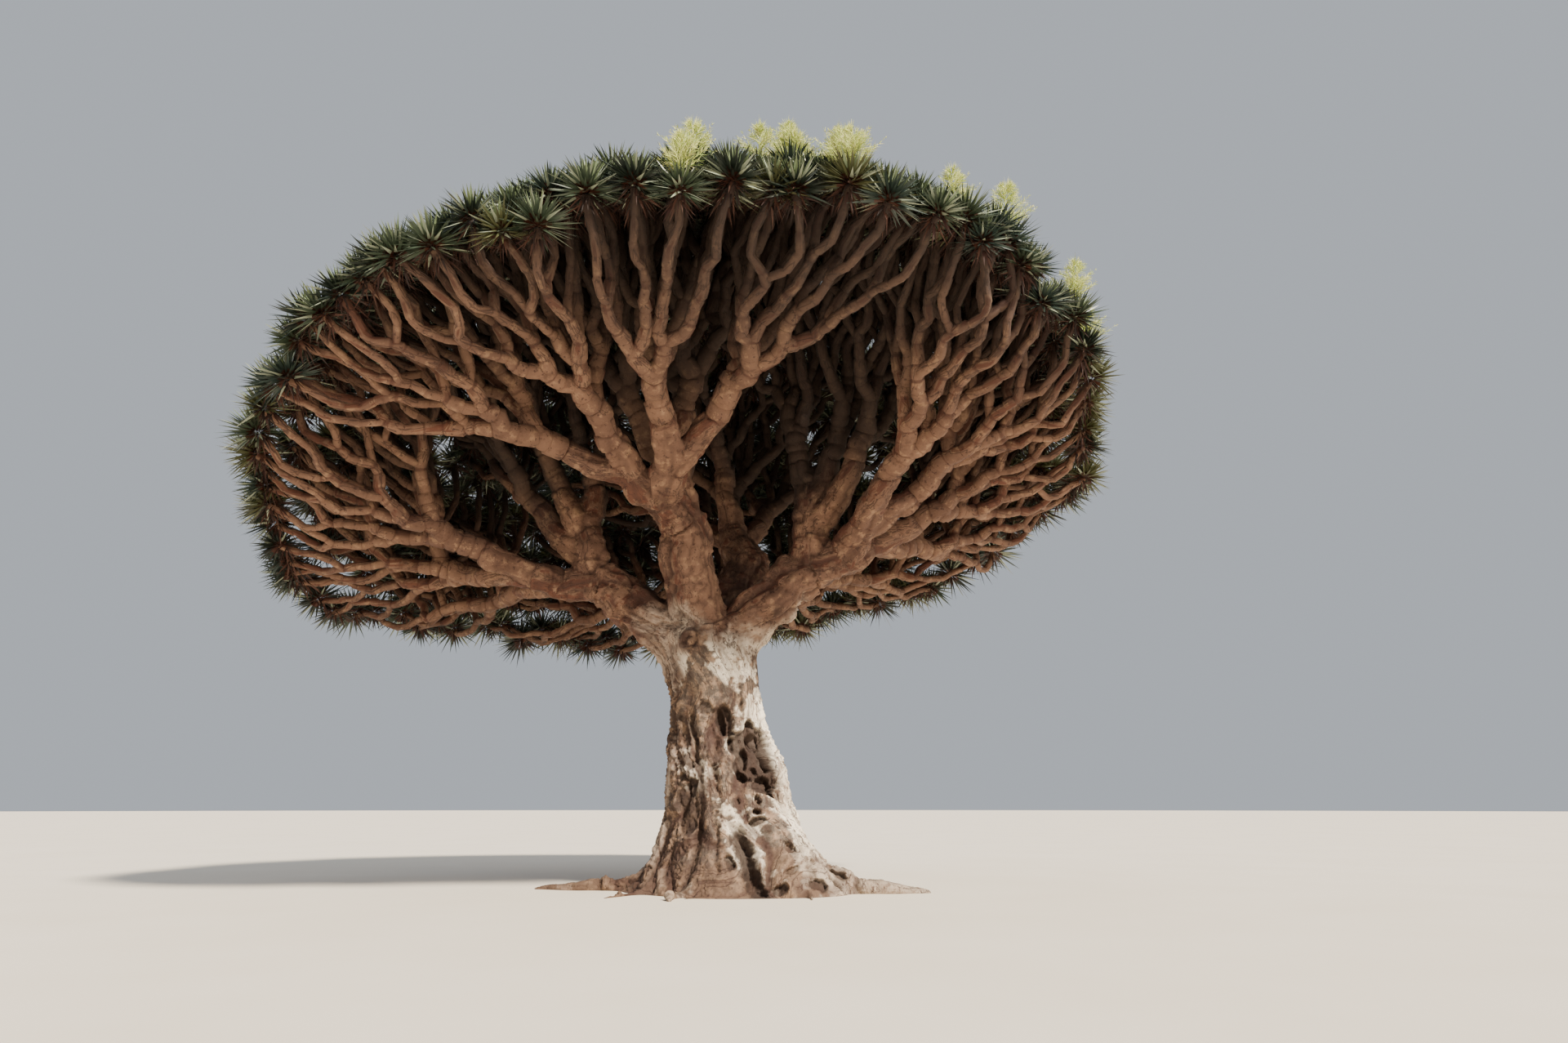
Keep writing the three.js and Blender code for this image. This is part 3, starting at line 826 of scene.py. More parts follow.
def pit_depth(azimuth, z, reach, warp, ragged):
    """How deep the pits and grooves cut at each point, in metres: the small ones are the more ragged."""
    depth = np.zeros(len(z))
    for side, height, width, tall, deep, lean in PITS:
        across = arc_from(math.radians(side), azimuth, reach)
        up = z - height
        lean = math.radians(lean)
        wide = (across * math.cos(lean) + up * math.sin(lean)) / (width / 2)
        long = (up * math.cos(lean) - across * math.sin(lean)) / (tall / 2)
        small = min(1, SMALL_PIT / width)
        round_it = np.hypot(wide, long) + PIT_WARP * warp + PIT_RAGS * small * (ragged - warp)
        depth = depth + deep * fade(round_it, lerp(*PIT_WALL, 1 - small), 1)
        depth = depth - RIM * np.exp(-((round_it - RIM_AT) / RIM_WIDTH) ** 2)
    for width, deep, points in GROOVES:
        sides, heights = zip(*points)
        foot, head = min(heights), max(heights)
        side = np.interp(z, heights[::-1], np.radians(sides[::-1]))
        across = arc_from(side, azimuth, reach) + GROOVE_RAGS * ragged
        ends = fade(z, head - GROUND_GROOVE_HEAD, head)
        if foot > 0:
            ends = ease(z, foot - GROOVE_FOOT, foot) * fade(z, head - GROOVE_HEAD, head)
        depth = np.maximum(depth, deep * ends * np.exp(-(across / width) ** 2))
    return depth


# %% How deep in the crown a point lies, for painted shade
SECTORS = 40
BANDS = 12
OUTER_BANDS = 3
CROWN_SHADE_HEIGHTS = (0.15, 1.2)
limb_points = np.concatenate([limb["path"] for limb in boughs + twigs])


def sector_and_band(points):
    x, y = points[:, 0] - CROWN_CENTRE[0], points[:, 1] - CROWN_CENTRE[1]
    return np.arctan2(y, x) % TURN / TURN * SECTORS, np.hypot(x, y) / CROWN_RADIUS * BANDS


def lowest_limbs():
    """The height of the lowest limb in each cell of a round grid seen from above."""
    grid = np.full((SECTORS, BANDS + OUTER_BANDS), RIM_HEIGHT)
    sector, band = sector_and_band(limb_points)
    np.minimum.at(grid, (sector.astype(int), band.astype(int)), limb_points[:, 2])
    return grid


underside = lowest_limbs()


def crown_shade_share(points):
    """Painted shade: 0 at the crown's underside and 1 well above it, where little light comes."""
    sector, band = [place - 0.5 for place in sector_and_band(points)]
    band = np.clip(band, 0, BANDS + 1)
    low_sector, low_band = np.floor(sector).astype(int), np.floor(band).astype(int)
    turn, step = sector - low_sector, band - low_band
    rows = [underside[(low_sector + i) % SECTORS] for i in (0, 1)]
    place = np.arange(len(points))
    near, far = [row[place, low_band] * (1 - step) + row[place, low_band + 1] * step for row in rows]
    return ease(points[:, 2] - near * (1 - turn) - far * turn, *CROWN_SHADE_HEIGHTS)


# %% Sizes of the relief
# the grain, which is squeezed along a limb and weaves down the trunk
GRAIN_SQUEEZE = 0.18
WAIST = 0.5
CORD_WEAVE = 0.45
WEAVE_SCALE = 1.5
# scale and height of the ropes and cords along the grain, and of the lumps and flakes
ROPES = ((3.4, 0.085), (8, 0.036))
FLAKES = ((15, 0.016), (32, 0.007))
BILLOW_MEAN = 0.4
# the shared noises: gentle, coarse, and the scale and size of what makes an outline ragged
WARP_SCALE = 7
COARSE_SCALE = 2.1
RAGS = ((17, 0.7), (36, 0.4))
# azimuth, then the cosines at which a side begins and holds in full
SMOOTH_SIDE = (305, -0.2, 0.6)
SUNNY_SIDE = (308, -0.1, 0.75)
LOBE_SIDE = (325, 0.7, 0.95)
# where the trunk is smoother
SMOOTH_SKIN = (1.5, 2.3)
SMOOTH_SHARE = 0.8
THIN_ROOTS = (1.2, 1.6)
SMOOTH_ROOT = 0.75
TRUNK_WARP = 0.012
FLAT_FOOT = 0.04
# patches where bark is lost, most of them on the shaded side below the waist, as painted shade there too
SHADED_AZIMUTH = math.radians(225)
SHADE_TOP = (1.9, 2.15)
SHADE_RAGS = 0.25
PATCH_SCALE = 2.6
PATCH_SQUEEZE = (1, 1, 0.5)
PATCH_RAGS = 0.35
PATCH_SHADE = 0.52
PATCH_EDGE = (0.12, 0.24)
PATCH_STEP = 0.022
PATCH_LUMPS = (0.05, 0.4)
# boughs, and the creases of the thinner ones
BOUGH_COARSE = 0.022
BOUGH_WARP = 0.008
BOUGH_CORD = 0.11
BOUGH_ROPE = 0.24
CREASED_GIRTHS = (0.22, 0.34)
CREASE_SHIFT = 0.06
CREASE_GAPS = (-0.5, 0.1)
CREASE_DEPTH = 0.01
# knots: each has a dimple at a share of its radius, so wide, and deep by a share of its rise
KNOT_WARP = 0.12
KNOT_DIMPLE = (0.5, 0.16, 0.6)
KNOT_BARE = 0.8
# the masks: pale skin up to the fork, fuller on the sunny side as painted sunlight, soil at the foot, and
# painted shade in the valleys, with their range and share
PALE_TOP = (2.15, 3.05)
PALE_COARSE = 0.7
PALE_RAGS = 0.2
PALE_SHADE = 0.3
SOIL_TOP = (0, 0.3)
SOIL_RAGS = 0.1
SOIL_RISE = 0.12
LOBE_SOIL = 0.16
ROPE_VALLEY = (0.04, 0.36, 0.9)
CORD_VALLEY = (0.03, 0.32, 0.6)
THIN_VALLEY = 0.45
THICK_GIRTHS = (0.12, 0.22)
PIT_SHOWS = (0.01, 0.1)


# %% Relief over a whole skin
def toward(azimuth, side, low, high):
    """1 where a point faces one side, and 0 where it faces well away from it."""
    return ease(np.cos(azimuth - math.radians(side)), low, high)


def crease_at(number, along):
    """1 on a crease of the limb and 0 between creases."""
    ring = np.zeros(len(along))
    for i, limb in enumerate(boughs):
        mine = number == i
        marks = limb["creases"][::2]
        after = np.clip(np.searchsorted(marks, along[mine]), 1, len(marks) - 1)
        gap = np.minimum(np.abs(marks[after] - along[mine]), np.abs(marks[after - 1] - along[mine]))
        ring[mine] = np.exp(-((gap / CREASE_WIDTH) ** 2))
    return ring


def billow(points, scale):
    """Rounded ropes and lumps with sharp valleys between them, from 0 in a valley to about 1."""
    return 2 * np.abs(noise_at(points, scale))


def grain_on_bough(points, index):
    """Where a point lies on its limb, squeezed along it, so that a pattern read there runs along it."""
    return points - bough_points[index] + np.outer(bough_along[index], (0, 0, GRAIN_SQUEEZE))


def grain_on_trunk(points, azimuth, reach):
    """The same on the trunk, taken as a round post, so that cords run down it and out along its roots."""
    weave = azimuth + CORD_WEAVE * noise_at(points, WEAVE_SCALE) * fade(points[:, 2], *TRUNK_FADES)
    down = points[:, 2] - FORK_HEART.z - np.maximum(reach - WAIST, 0)
    return np.column_stack([WAIST * np.cos(weave), WAIST * np.sin(weave), GRAIN_SQUEEZE * down])


def grain_on_root(points, reach):
    index, _ = nearest(root_finder, points)
    return points - root_points[index] - np.outer(reach, (0, 0, GRAIN_SQUEEZE))


def knots_at(points, ragged):
    """How far the knots stand out at each point, with a dimpled ring on each, and their mask."""
    out = np.zeros(len(points))
    mask = np.zeros(len(points))
    ring_at, ring_width, dimple = KNOT_DIMPLE
    for place, radius, rise in KNOTS:
        gap = np.linalg.norm(points - np.array(place), axis=1) / radius + KNOT_WARP * ragged
        hump = np.exp(-gap ** 4)
        out += rise * (hump - dimple * np.exp(-((gap - ring_at) / ring_width) ** 2))
        mask = np.maximum(mask, hump)
    return out, mask


def relief(points):
    """How far the bark stands out at each point, how deep it is eaten, and the masks for its finish."""
    z = points[:, 2]
    axis = points[:, 0] - TRUNK_LEAN * z
    azimuth = np.arctan2(points[:, 1], axis)
    reach = np.hypot(points[:, 1], axis)
    index, _ = nearest(bough_finder, points)
    girth = bough_girths[index]
    trunk = fade(z, *TRUNK_FADES)
    bough = 1 - trunk
    root = ease(reach, *THIN_ROOTS)
    on_root = (root * trunk)[:, None]
    post = grain_on_trunk(points, azimuth, reach) * (1 - on_root) + grain_on_root(points, reach) * on_root
    grain = post * trunk[:, None] + grain_on_bough(points, index) * bough[:, None]
    warp = noise_at(points, WARP_SCALE)
    coarse = noise_at(points, COARSE_SCALE)
    ragged = warp + sum(size * noise_at(points, scale) for scale, size in RAGS)
    ropes, cords = [billow(grain, scale) for scale, _ in ROPES]
    lumps, flakes = [billow(points, scale) for scale, _ in FLAKES]
    depth = pit_depth(azimuth, z, reach, warp, ragged) * trunk

    smooth = SMOOTH_SHARE * ease(z, *SMOOTH_SKIN) * toward(azimuth, *SMOOTH_SIDE)
    rough = trunk * (1 - smooth) * (1 - SMOOTH_ROOT * root)
    # lost-bark patches gather on the shaded side, painted shade as well as lost bark
    shaded = np.cos(azimuth - SHADED_AZIMUTH) * fade(z + SHADE_RAGS * ragged, *SHADE_TOP)
    patches = noise_at(points, PATCH_SCALE, PATCH_SQUEEZE) + PATCH_RAGS * ragged + PATCH_SHADE * shaded
    worn_and_shaded = ease(patches, *PATCH_EDGE) * trunk
    bark = sum(height * (layer - BILLOW_MEAN)
               for layer, (_, height) in zip((ropes, cords, lumps, flakes), ROPES + FLAKES))
    out = rough * (bark - PATCH_STEP * worn_and_shaded * ease(lumps, *PATCH_LUMPS))
    out += trunk * (TRUNK_WARP * warp + bulge(azimuth, z, reach))

    ring = crease_at(bough_number[index], bough_along[index] + CREASE_SHIFT * coarse)
    ring *= fade(girth, *CREASED_GIRTHS) * bough * ease(warp, *CREASE_GAPS)
    ropes_out = BOUGH_CORD * (cords - BILLOW_MEAN) + BOUGH_ROPE * (ropes - BILLOW_MEAN)
    out += bough * (BOUGH_COARSE * coarse + BOUGH_WARP * (warp + cords - BILLOW_MEAN) + girth * ropes_out)
    knot_out, knot = knots_at(points, ragged)
    out += knot_out - CREASE_DEPTH * ring

    _, fork_gap = nearest(fork_finder, points)
    # pale skin, fuller on the sunny side as painted sunlight
    pale = fade(z + PALE_COARSE * coarse + PALE_RAGS * ragged, *PALE_TOP)
    pale *= lerp(PALE_SHADE, 1, toward(azimuth, *SUNNY_SIDE)) * (1 - KNOT_BARE * knot)
    soil_line = z + SOIL_RAGS * ragged - SOIL_RISE * np.minimum(reach, 1)
    soil_line -= LOBE_SOIL * toward(azimuth, *LOBE_SIDE)
    # painted shade in the furrows between ropes and cords
    furrow_shade = sum(share * fade(layer, low, high)
                 for layer, (low, high, share) in ((ropes, ROPE_VALLEY), (cords, CORD_VALLEY)))
    thick = lerp(THIN_VALLEY, 1, ease(girth, *THICK_GIRTHS)) * bough
    masks = {
        "crease": ring,
        "pit": ease(depth, *PIT_SHOWS),
        "worn_and_shaded": np.maximum(worn_and_shaded, KNOT_BARE * knot),
        "pale": pale,
        "stain": np.exp(-((fork_gap / FORK_STAIN) ** 2)) * bough,
        "furrow_shade": np.clip(furrow_shade, 0, 1) * np.maximum(rough, thick),
        # painted shade: limbs darken well above the crown's underside
        "deep": crown_shade_share(points) * bough,
        "soil": trunk * fade(soil_line, *SOIL_TOP),
    }
    still = ease(z, 0, FLAT_FOOT)
    return out * still, depth * still, masks, grain


# %% Carved skins
PIT_PRESS = 2
FRONT_NORMALS = (0.1, 0.6)
CRUMB = 600
FORK_ZONE = (2.5, 3)
FORK_MARGINS = (0.1, 0.2, 0.3)
SPARE_ABOVE = 0.3
LEVEL = 1e-4
# rounds of softening all over and at the fork, and the heights between which the skin is kept
TRUNK_SKIN = (26, 26, 0, TRUNK_TOP)
BOUGH_SKIN = (8, 10, BOUGH_FOOT, math.inf)


def bark_object(name, mesh, places, masks, grain):
    """An object of the mesh, with its vertices moved, its faces smooth and its masks painted on."""
    mesh.vertices.foreach_set("co", places.ravel())
    mesh.polygons.foreach_set("use_smooth", np.ones(len(mesh.polygons), bool))
    for mask, values in masks.items():
        mesh.attributes.new(mask, "FLOAT", "POINT").data.foreach_set("value", values.astype(np.float32))
    grains = mesh.attributes.new("grain", "FLOAT_VECTOR", "POINT").data
    grains.foreach_set("vector", grain.astype(np.float32).ravel())
    mesh.update()
    return new_object(name, mesh)


def triples(collection, name):
    values = np.empty(len(collection) * 3, np.float32)
    collection.foreach_get(name, values)
    return values.reshape(-1, 3).astype(float)


def drop_crumbs(bm):
    """Delete the small loose bits that a level cut leaves."""
    seen = set()
    for start in list(bm.verts):
        if start in seen:
            continue
        group = {start}
        to_visit = [start]
        while to_visit:
            here = to_visit.pop()
            beside = {edge.other_vert(here) for edge in here.link_edges} - group
            group |= beside
            to_visit += beside
        seen |= group
        if len(group) < CRUMB:
            bmesh.ops.delete(bm, geom=list(group), context="VERTS")


def pressed(normals, depth):
    """The pits, eaten inward, and on the front straight back from the weather."""
    inward = -normals
    inward[:, 1] += PIT_PRESS * ease(-normals[:, 1], *FRONT_NORMALS)
    return inward * (depth / np.linalg.norm(inward, axis=1))[:, None]


def carved(name, skin, rounds, fork_rounds, low, high):
    """The skin between two heights, softened most at the fork, cut level and given its relief."""
    bm = bmesh.new()
    bm.from_mesh(skin)
    spare = [vertex for vertex in bm.verts if vertex.co.z > high + SPARE_ABOVE]
    bmesh.ops.delete(bm, geom=spare, context="VERTS")
    soften(bm, rounds)
    for margin in FORK_MARGINS:
        soften(bm, fork_rounds, FORK_ZONE[0] - margin, FORK_ZONE[1] + margin)
    cut_level(bm, low, keep_above=True)
    if high < math.inf:
        cut_level(bm, high, keep_above=False)
    drop_crumbs(bm)
    bmesh.ops.recalc_face_normals(bm, faces=bm.faces)
    mesh = mesh_from(bm, name)
    points = triples(mesh.vertices, "co")
    normals = triples(mesh.vertex_normals, "vector")
    out, depth, masks, grain = relief(points)
    moved = points + normals * out[:, None] + pressed(normals, depth)
    moved[np.abs(points[:, 2] - low) < LEVEL, 2] = low
    moved[:, 2] = np.maximum(moved[:, 2], low)
    return bark_object(name, mesh, moved, masks, grain)


trunk_piece = carved("trunk_bark", trunk_skin, *TRUNK_SKIN)
bough_piece = carved("bough_bark", bough_skin, *BOUGH_SKIN)
for piece in (trunk_piece, bough_piece):
    print(piece.name, "faces:", len(piece.data.polygons))

# %% [markdown]
# ## Twigs
#
# The twigs are too many for a voxel skin, so they stay tubes. Each link between two creases has a notch
# and two shoulders. Each mass's stem starts a little way inside the end of its bough.

# %% Linked tubes
SIDES = ("left", "front", "right", "back")
NOTCH = 0.022
NOTCH_SHARE = 0.87
LINK_SWELL = 0.09
SWELL_USE = 31
TWIG_RESOLUTION = 2
# scale, size
TWIG_SWELLS = ((7, 0.13), (19, 0.07))
TWIG_CREASE = 0.8
TWIG_STAIN = 0.6 * FORK_STAIN


def linked_run(limb):
    """Stations along a limb, three to a link, with the radius and the crease mask at each."""
    marks = limb["creases"]
    stations = []
    shares = []
    rings = []
    for i, (low, high) in enumerate(zip(marks, marks[1:])):
        notch = min(NOTCH, (high - low) / 4)
        swell = 1 + LINK_SWELL * spread(limb["cell"]["seed"], SWELL_USE + i)
        stations += [low, low + notch, high - notch]
        shares += [NOTCH_SHARE, swell, swell]
        rings += [True, False, False]
    stations.append(marks[-1])
    shares.append(NOTCH_SHARE)
    path = np.column_stack([np.interp(stations, limb["along"], limb["path"][:, i]) for i in range(3)])
    girths = np.interp(stations, limb["along"], limb["girths"]) * shares
    return path, girths, np.array([*rings, True]), np.array(stations)


def with_foot(run, heading):
    """The run of a stem, started inside its bough."""
    path, girths, rings, stations = run
    foot = path[:1] - TUBE_OVERLAP * np.array(heading)
    return (np.concatenate([foot, path]), np.concatenate([girths[:1], girths]), np.append(False, rings),
            np.append(-TUBE_OVERLAP, stations))


stem_starts = {tuple(bough["points"][-1]): heading_of(bough["points"]) for bough in boughs}
twigs_on = {side: [twig for twig in twigs if twig["side"] == side] for side in SIDES}


def twig_piece(side):
    runs = []
    for twig in twigs_on[side]:
        start = tuple(twig["points"][0])
        run = linked_run(twig)
        runs.append(with_foot(run, stem_starts[start]) if start in stem_starts else run)
    mesh = tube_mesh(f"twigs_{side}", [run[:2] for run in runs], TWIG_RESOLUTION)
    points = triples(mesh.vertices, "co")
    centres, rings, stations = [np.concatenate([run[i] for run in runs]) for i in (0, 2, 3)]
    index, _ = nearest(tree_of(centres), points)
    away = points - centres[index]
    swell = 1 + sum(size * noise_at(points, scale) for scale, size in TWIG_SWELLS)
    _, fork_gap = nearest(fork_finder, points)
    masks = dict.fromkeys(("pit", "worn_and_shaded", "pale", "furrow_shade", "soil"), np.zeros(len(points)))
    masks["crease"] = TWIG_CREASE * rings[index]
    masks["stain"] = np.exp(-((fork_gap / TWIG_STAIN) ** 2))
    # painted shade, darker well above the crown's underside
    masks["deep"] = crown_shade_share(points)
    grain = away + np.outer(stations[index], (0, 0, GRAIN_SQUEEZE))
    return bark_object(f"twigs_{side}", mesh, centres[index] + away * swell[:, None], masks, grain)


twig_pieces = {side: twig_piece(side) for side in SIDES}
print("twig faces:", [len(piece.data.polygons) for piece in twig_pieces.values()])

# %% [markdown]
# ## Leaves
#
# Each tip bears a rosette of stiff sword leaves, set out by the golden angle, the young ones upright in
# the middle and the old ones level or drooping. A leaf is a long kite of two faces, shaped once and then
# copied by arithmetic on arrays. Colour is dealt out plainly: each rosette takes one of a few greens, with
# olive commoner on the right as painted sunlight; a few of its leaves are pale as painted highlights, its
# heart is a lighter green, and the foot of every blade is red-brown.

# %% One blade
BLADE_MIDDLE = 0.26
# shares across and along: the foot, the two shoulders and the tip
BLADE = np.array([(0, 0), (-1, BLADE_MIDDLE), (1, BLADE_MIDDLE), (0, 1)])
BLADE_FACES = np.array([(0, 2, 1), (1, 2, 3)])

# %% Rosettes
GOLDEN_ANGLE = math.radians(137.5)
HEART_HEIGHT = 0.07
HEART_RADIUS = 0.03
LEAF_SCATTER = 0.04
UPRIGHT_LENGTH = 0.72
LEAF_LENGTHS = (0.86, 1.12)


def rosette_axis(twig):
    return (heading_of(twig["points"]) + UP).normalized()


def blades(base, along, up, length, half_width, droop, roll):
    """The corners of many blades, from each one's base, direction, upper side, size and roll."""
    across = np.cross(along, up) * np.cos(roll)[:, None] + up * np.sin(roll)[:, None]
    x, y = BLADE.T
    return (base[:, None] + across[:, None] * (x * half_width[:, None])[..., None]
            + along[:, None] * (y * length[:, None])[..., None]
            - up[:, None] * ((droop * length)[:, None] * y ** 2)[..., None])


def rosette(twig, count, cosines, size, draw):
    """The frames of a rosette's leaves, which lean from one angle off its axis to another."""
    axis = np.array(rosette_axis(twig))
    side = np.array(Vector(axis).orthogonal().normalized())
    front = np.cross(axis, side)
    share = (np.arange(count) + 0.5) / count
    around = np.arange(count) * GOLDEN_ANGLE + draw.uniform(0, TURN)
    radial = np.cos(around)[:, None] * side + np.sin(around)[:, None] * front
    cosine = lerp(*cosines, share) + draw.normal(0, LEAF_SCATTER, count)
    lean = np.arccos(np.clip(cosine, -1, 1))[:, None]
    along = np.cos(lean) * axis + np.sin(lean) * radial
    up = np.sin(lean) * axis - np.cos(lean) * radial
    base = twig["path"][-1] + axis * (HEART_HEIGHT * (1 - share))[:, None] + radial * HEART_RADIUS
    length = size * lerp(UPRIGHT_LENGTH, 1, np.sin(lean[:, 0])) * draw.uniform(*LEAF_LENGTHS, count)
    return base, along, up, length, share


# %% Meshes of many equal shapes
def copied(faces, count, corners_each):
    """The faces of one shape again for each of its copies."""
    return (faces + (np.arange(count) * corners_each)[:, None, None]).reshape(-1, faces.shape[1])


def mesh_of(name, corners, faces, materials, slots):
    mesh = bpy.data.meshes.new(name)
    mesh.from_pydata(corners.reshape(-1, 3), [], faces)
    for material in materials:
        mesh.materials.append(material)
    mesh.polygons.foreach_set("material_index", slots.astype(np.int32))
    mesh.update()
    return new_object(name, mesh)


def blade_piece(name, rosettes, slots, materials):
    corners = np.concatenate(rosettes)
    return mesh_of(name, corners, copied(BLADE_FACES, len(corners), len(BLADE)), materials, slots)


# %% The leaves of one side, with a tint for each
ROSETTE_LEAVES = 150
LEAF_LENGTH = 0.29
LEAF_HALF_WIDTH = 0.0165
LEAF_ROLL = 0.5
LEAF_COSINES = (1, -0.22)
LEAF_DROOP = (0.02, 0.14)
LEAF_WIDTHS = (0.8, 1.15)
ROSETTE_SIZES = (0.85, 1.12)
BACK_SWELL = 0.22
BACK_REACH = 3
TINTS = ("deep", "blue", "mid", "olive", "pale", "young", "foot")
# how the deep, blue and mid greens share what olive leaves
PLAIN_GREENS = np.array([0.34, 0.26, 0.4])
# olive leans to the right, the sunny side, as painted sunlight
SUNLIT_OLIVE_SHARES = (0.12, 0.47)
OLIVE_FROM = -1
OLIVE_REACH = 4.5
GLINT_SHARE = 0.16
YOUNG_SHARE = 0.12


def within(value):
    """A value, held between 0 and 1."""
    return min(max(value, 0), 1)


def tint_of(twig, draw):
    """A rosette's green of the first four tints: olive, as painted sunlight, is commoner on the right."""
    olive = lerp(*SUNLIT_OLIVE_SHARES, within((twig["path"][-1][0] - OLIVE_FROM) / OLIVE_REACH))
    return draw.choice(len(PLAIN_GREENS) + 1, p=[*(PLAIN_GREENS * (1 - olive)), olive])


def leaf_piece(side, materials):
    leaves = []
    tints = []
    for twig in twigs_on[side]:
        draw = np.random.default_rng(twig["cell"]["seed"])
        tint = tint_of(twig, draw)
        size = LEAF_LENGTH * draw.uniform(*ROSETTE_SIZES)
        size *= 1 + BACK_SWELL * within(twig["path"][-1][1] / BACK_REACH)
        base, along, up, length, share = rosette(twig, ROSETTE_LEAVES, LEAF_COSINES, size, draw)
        width = LEAF_HALF_WIDTH * draw.uniform(*LEAF_WIDTHS, len(share))
        droop = LEAF_DROOP[0] + LEAF_DROOP[1] * share ** 2
        leaves.append(blades(base, along, up, length, width, droop, draw.normal(0, LEAF_ROLL, len(share))))
        # a few leaves take the pale tint as painted highlights
        mine = np.where(draw.random(len(share)) < GLINT_SHARE, TINTS.index("pale"), tint)
        tints.append(np.where(share < YOUNG_SHARE, TINTS.index("young"), mine))
    tints = np.concatenate(tints)
    slots = np.column_stack([np.full(len(tints), TINTS.index("foot")), tints]).ravel()
    return blade_piece(f"leaves_{side}", leaves, slots, materials)


# %% The dead leaves of one side
DRY_LEAVES = 40
DRY_LENGTH = 0.22
DRY_COSINES = (-0.05, -0.85)
DRY_DROOP = (0.1, 0.2)
DRY_WIDTHS = (0.5, 0.85)
DRY_SLIDE = 0.12
DRY_DRAWS = 10 ** 6


def dry_piece(side, materials):
    """The dead leaves that hang under each rosette, back along the twig."""
    leaves = []
    slots = []
    for twig in twigs_on[side]:
        draw = np.random.default_rng(twig["cell"]["seed"] + DRY_DRAWS)
        base, along, up, length, share = rosette(twig, DRY_LEAVES, DRY_COSINES, DRY_LENGTH, draw)
        base = base - np.array(heading_of(twig["points"])) * draw.uniform(0, DRY_SLIDE, len(share))[:, None]
        width = LEAF_HALF_WIDTH * draw.uniform(*DRY_WIDTHS, len(share))
        droop = DRY_DROOP[0] + DRY_DROOP[1] * share
        leaves.append(blades(base, along, up, length, width, droop, draw.normal(0, LEAF_ROLL, len(share))))
        slots.append(draw.integers(0, len(materials), len(share)))
    slots = np.repeat(np.concatenate(slots), len(BLADE_FACES))
    return blade_piece(f"dry_leaves_{side}", leaves, slots, materials)


# %% Leaf finishes
# pale stands for painted highlights on the blades
LEAF_COLOURS = {
    "deep": (34, 43, 36), "blue": (48, 61, 55), "mid": (61, 73, 58), "olive": (80, 83, 55),
    "pale": (146, 155, 134), "young": (108, 123, 88), "foot": (74, 42, 31),
}
# the dead leaves' red-brown is darkened as painted shade under the rosettes
DRY_AND_SHADED_COLOURS = ((54, 29, 24), (36, 22, 18), (74, 45, 34))
LEAF_ROUGHNESS = 0.28
DRY_ROUGHNESS = 0.6


def leaf_finish(name, shade, roughness):
    paint = Finish(name)
    return paint.wear(shade, roughness=paint.noise(6, detail=2) * 0.2 + roughness)


green_finishes = [leaf_finish(f"leaf_{tint}", LEAF_COLOURS[tint], LEAF_ROUGHNESS) for tint in TINTS]
dry_finishes = [leaf_finish(f"dry_leaf_{i}", shade, DRY_ROUGHNESS) for i, shade in enumerate(DRY_AND_SHADED_COLOURS)]
leaf_pieces = {side: leaf_piece(side, green_finishes) for side in SIDES}
dry_pieces = {side: dry_piece(side, dry_finishes) for side in SIDES}
print("leaf faces:", [len(piece.data.polygons) for piece in leaf_pieces.values()])

# %% [markdown]
# ## Flower heads
#
# On the sunny front of the crown some rosettes carry a feathery yellow-green flower head: a short stem
# with many side branches, each a slim spike of four faces and beset with branchlets of one face.

# %% Which tips flower
PLUME_SIDE = math.radians(306)
PLUME_SPREAD = math.radians(36)
PLUME_REACH = 0.5
PLUME_SHARE = 0.6
PLUME_LENGTH = 0.52
FLOWERING_TIPS = 0.28


def has_plume(cell):
    facing = abs(turn_between(PLUME_SIDE, cell["aim_azimuth"])) < PLUME_SPREAD
    return facing and cell["aim_reach"] > PLUME_REACH and chance(cell["seed"], 5) < PLUME_SHARE


def flowers_on(twig):
    """The solids fork less, so a tip asks the cell that its mass comes to after two forks."""
    line = [twig["cell"]]
    while line[-1] is not twig["mass"]:
        line.append(line[-1]["parent"])
    return has_plume(line[-3]) and chance(line[0]["seed"], 9) < FLOWERING_TIPS


flowering = [twig for twig in twigs if flowers_on(twig)]
print("flower heads:", len(flowering))

# %% Spikes
SPIKE_FACES = np.array([(0, 2, 1), (0, 1, 3), (1, 2, 3), (2, 0, 3)])
SPIKE_ROUNDS = (0, TURN / 3, 2 * TURN / 3)
SPIKE_CORNERS = 4
SLANT = (0.3, 0.5, 0.8)
BRANCH_LENGTHS = (0.8, 1.2)
BRANCH_TAPER = 1.15


def units(vectors):
    return vectors / np.linalg.norm(vectors, axis=-1)[..., None]


def spikes(start, end, radius):
    """Slim closed spikes: three corners round each start and one at its end."""
    along = units(end - start)
    side = units(np.cross(along, SLANT))
    front = np.cross(along, side)
    foot = [start + radius * (side * math.cos(turn) + front * math.sin(turn)) for turn in SPIKE_ROUNDS]
    return np.stack([*foot, end], axis=1)


def branch_off(start, end, low, high, count, angle, length, draw):
    """Side branches from many branches, as starts and ends, spread along each from low to high."""
    share = draw.uniform(low, high, (len(start), count))[..., None]
    along = end - start
    unit = units(along)[:, None]
    loose = draw.normal(size=(len(start), count, 3))
    loose = units(loose - (loose * unit).sum(axis=2)[..., None] * unit)
    way = unit * math.cos(angle) + loose * math.sin(angle)
    foot = start[:, None] + along[:, None] * share
    tip = foot + way * (length * (BRANCH_TAPER - share) * draw.uniform(*BRANCH_LENGTHS, share.shape))
    return foot.reshape(-1, 3), tip.reshape(-1, 3)


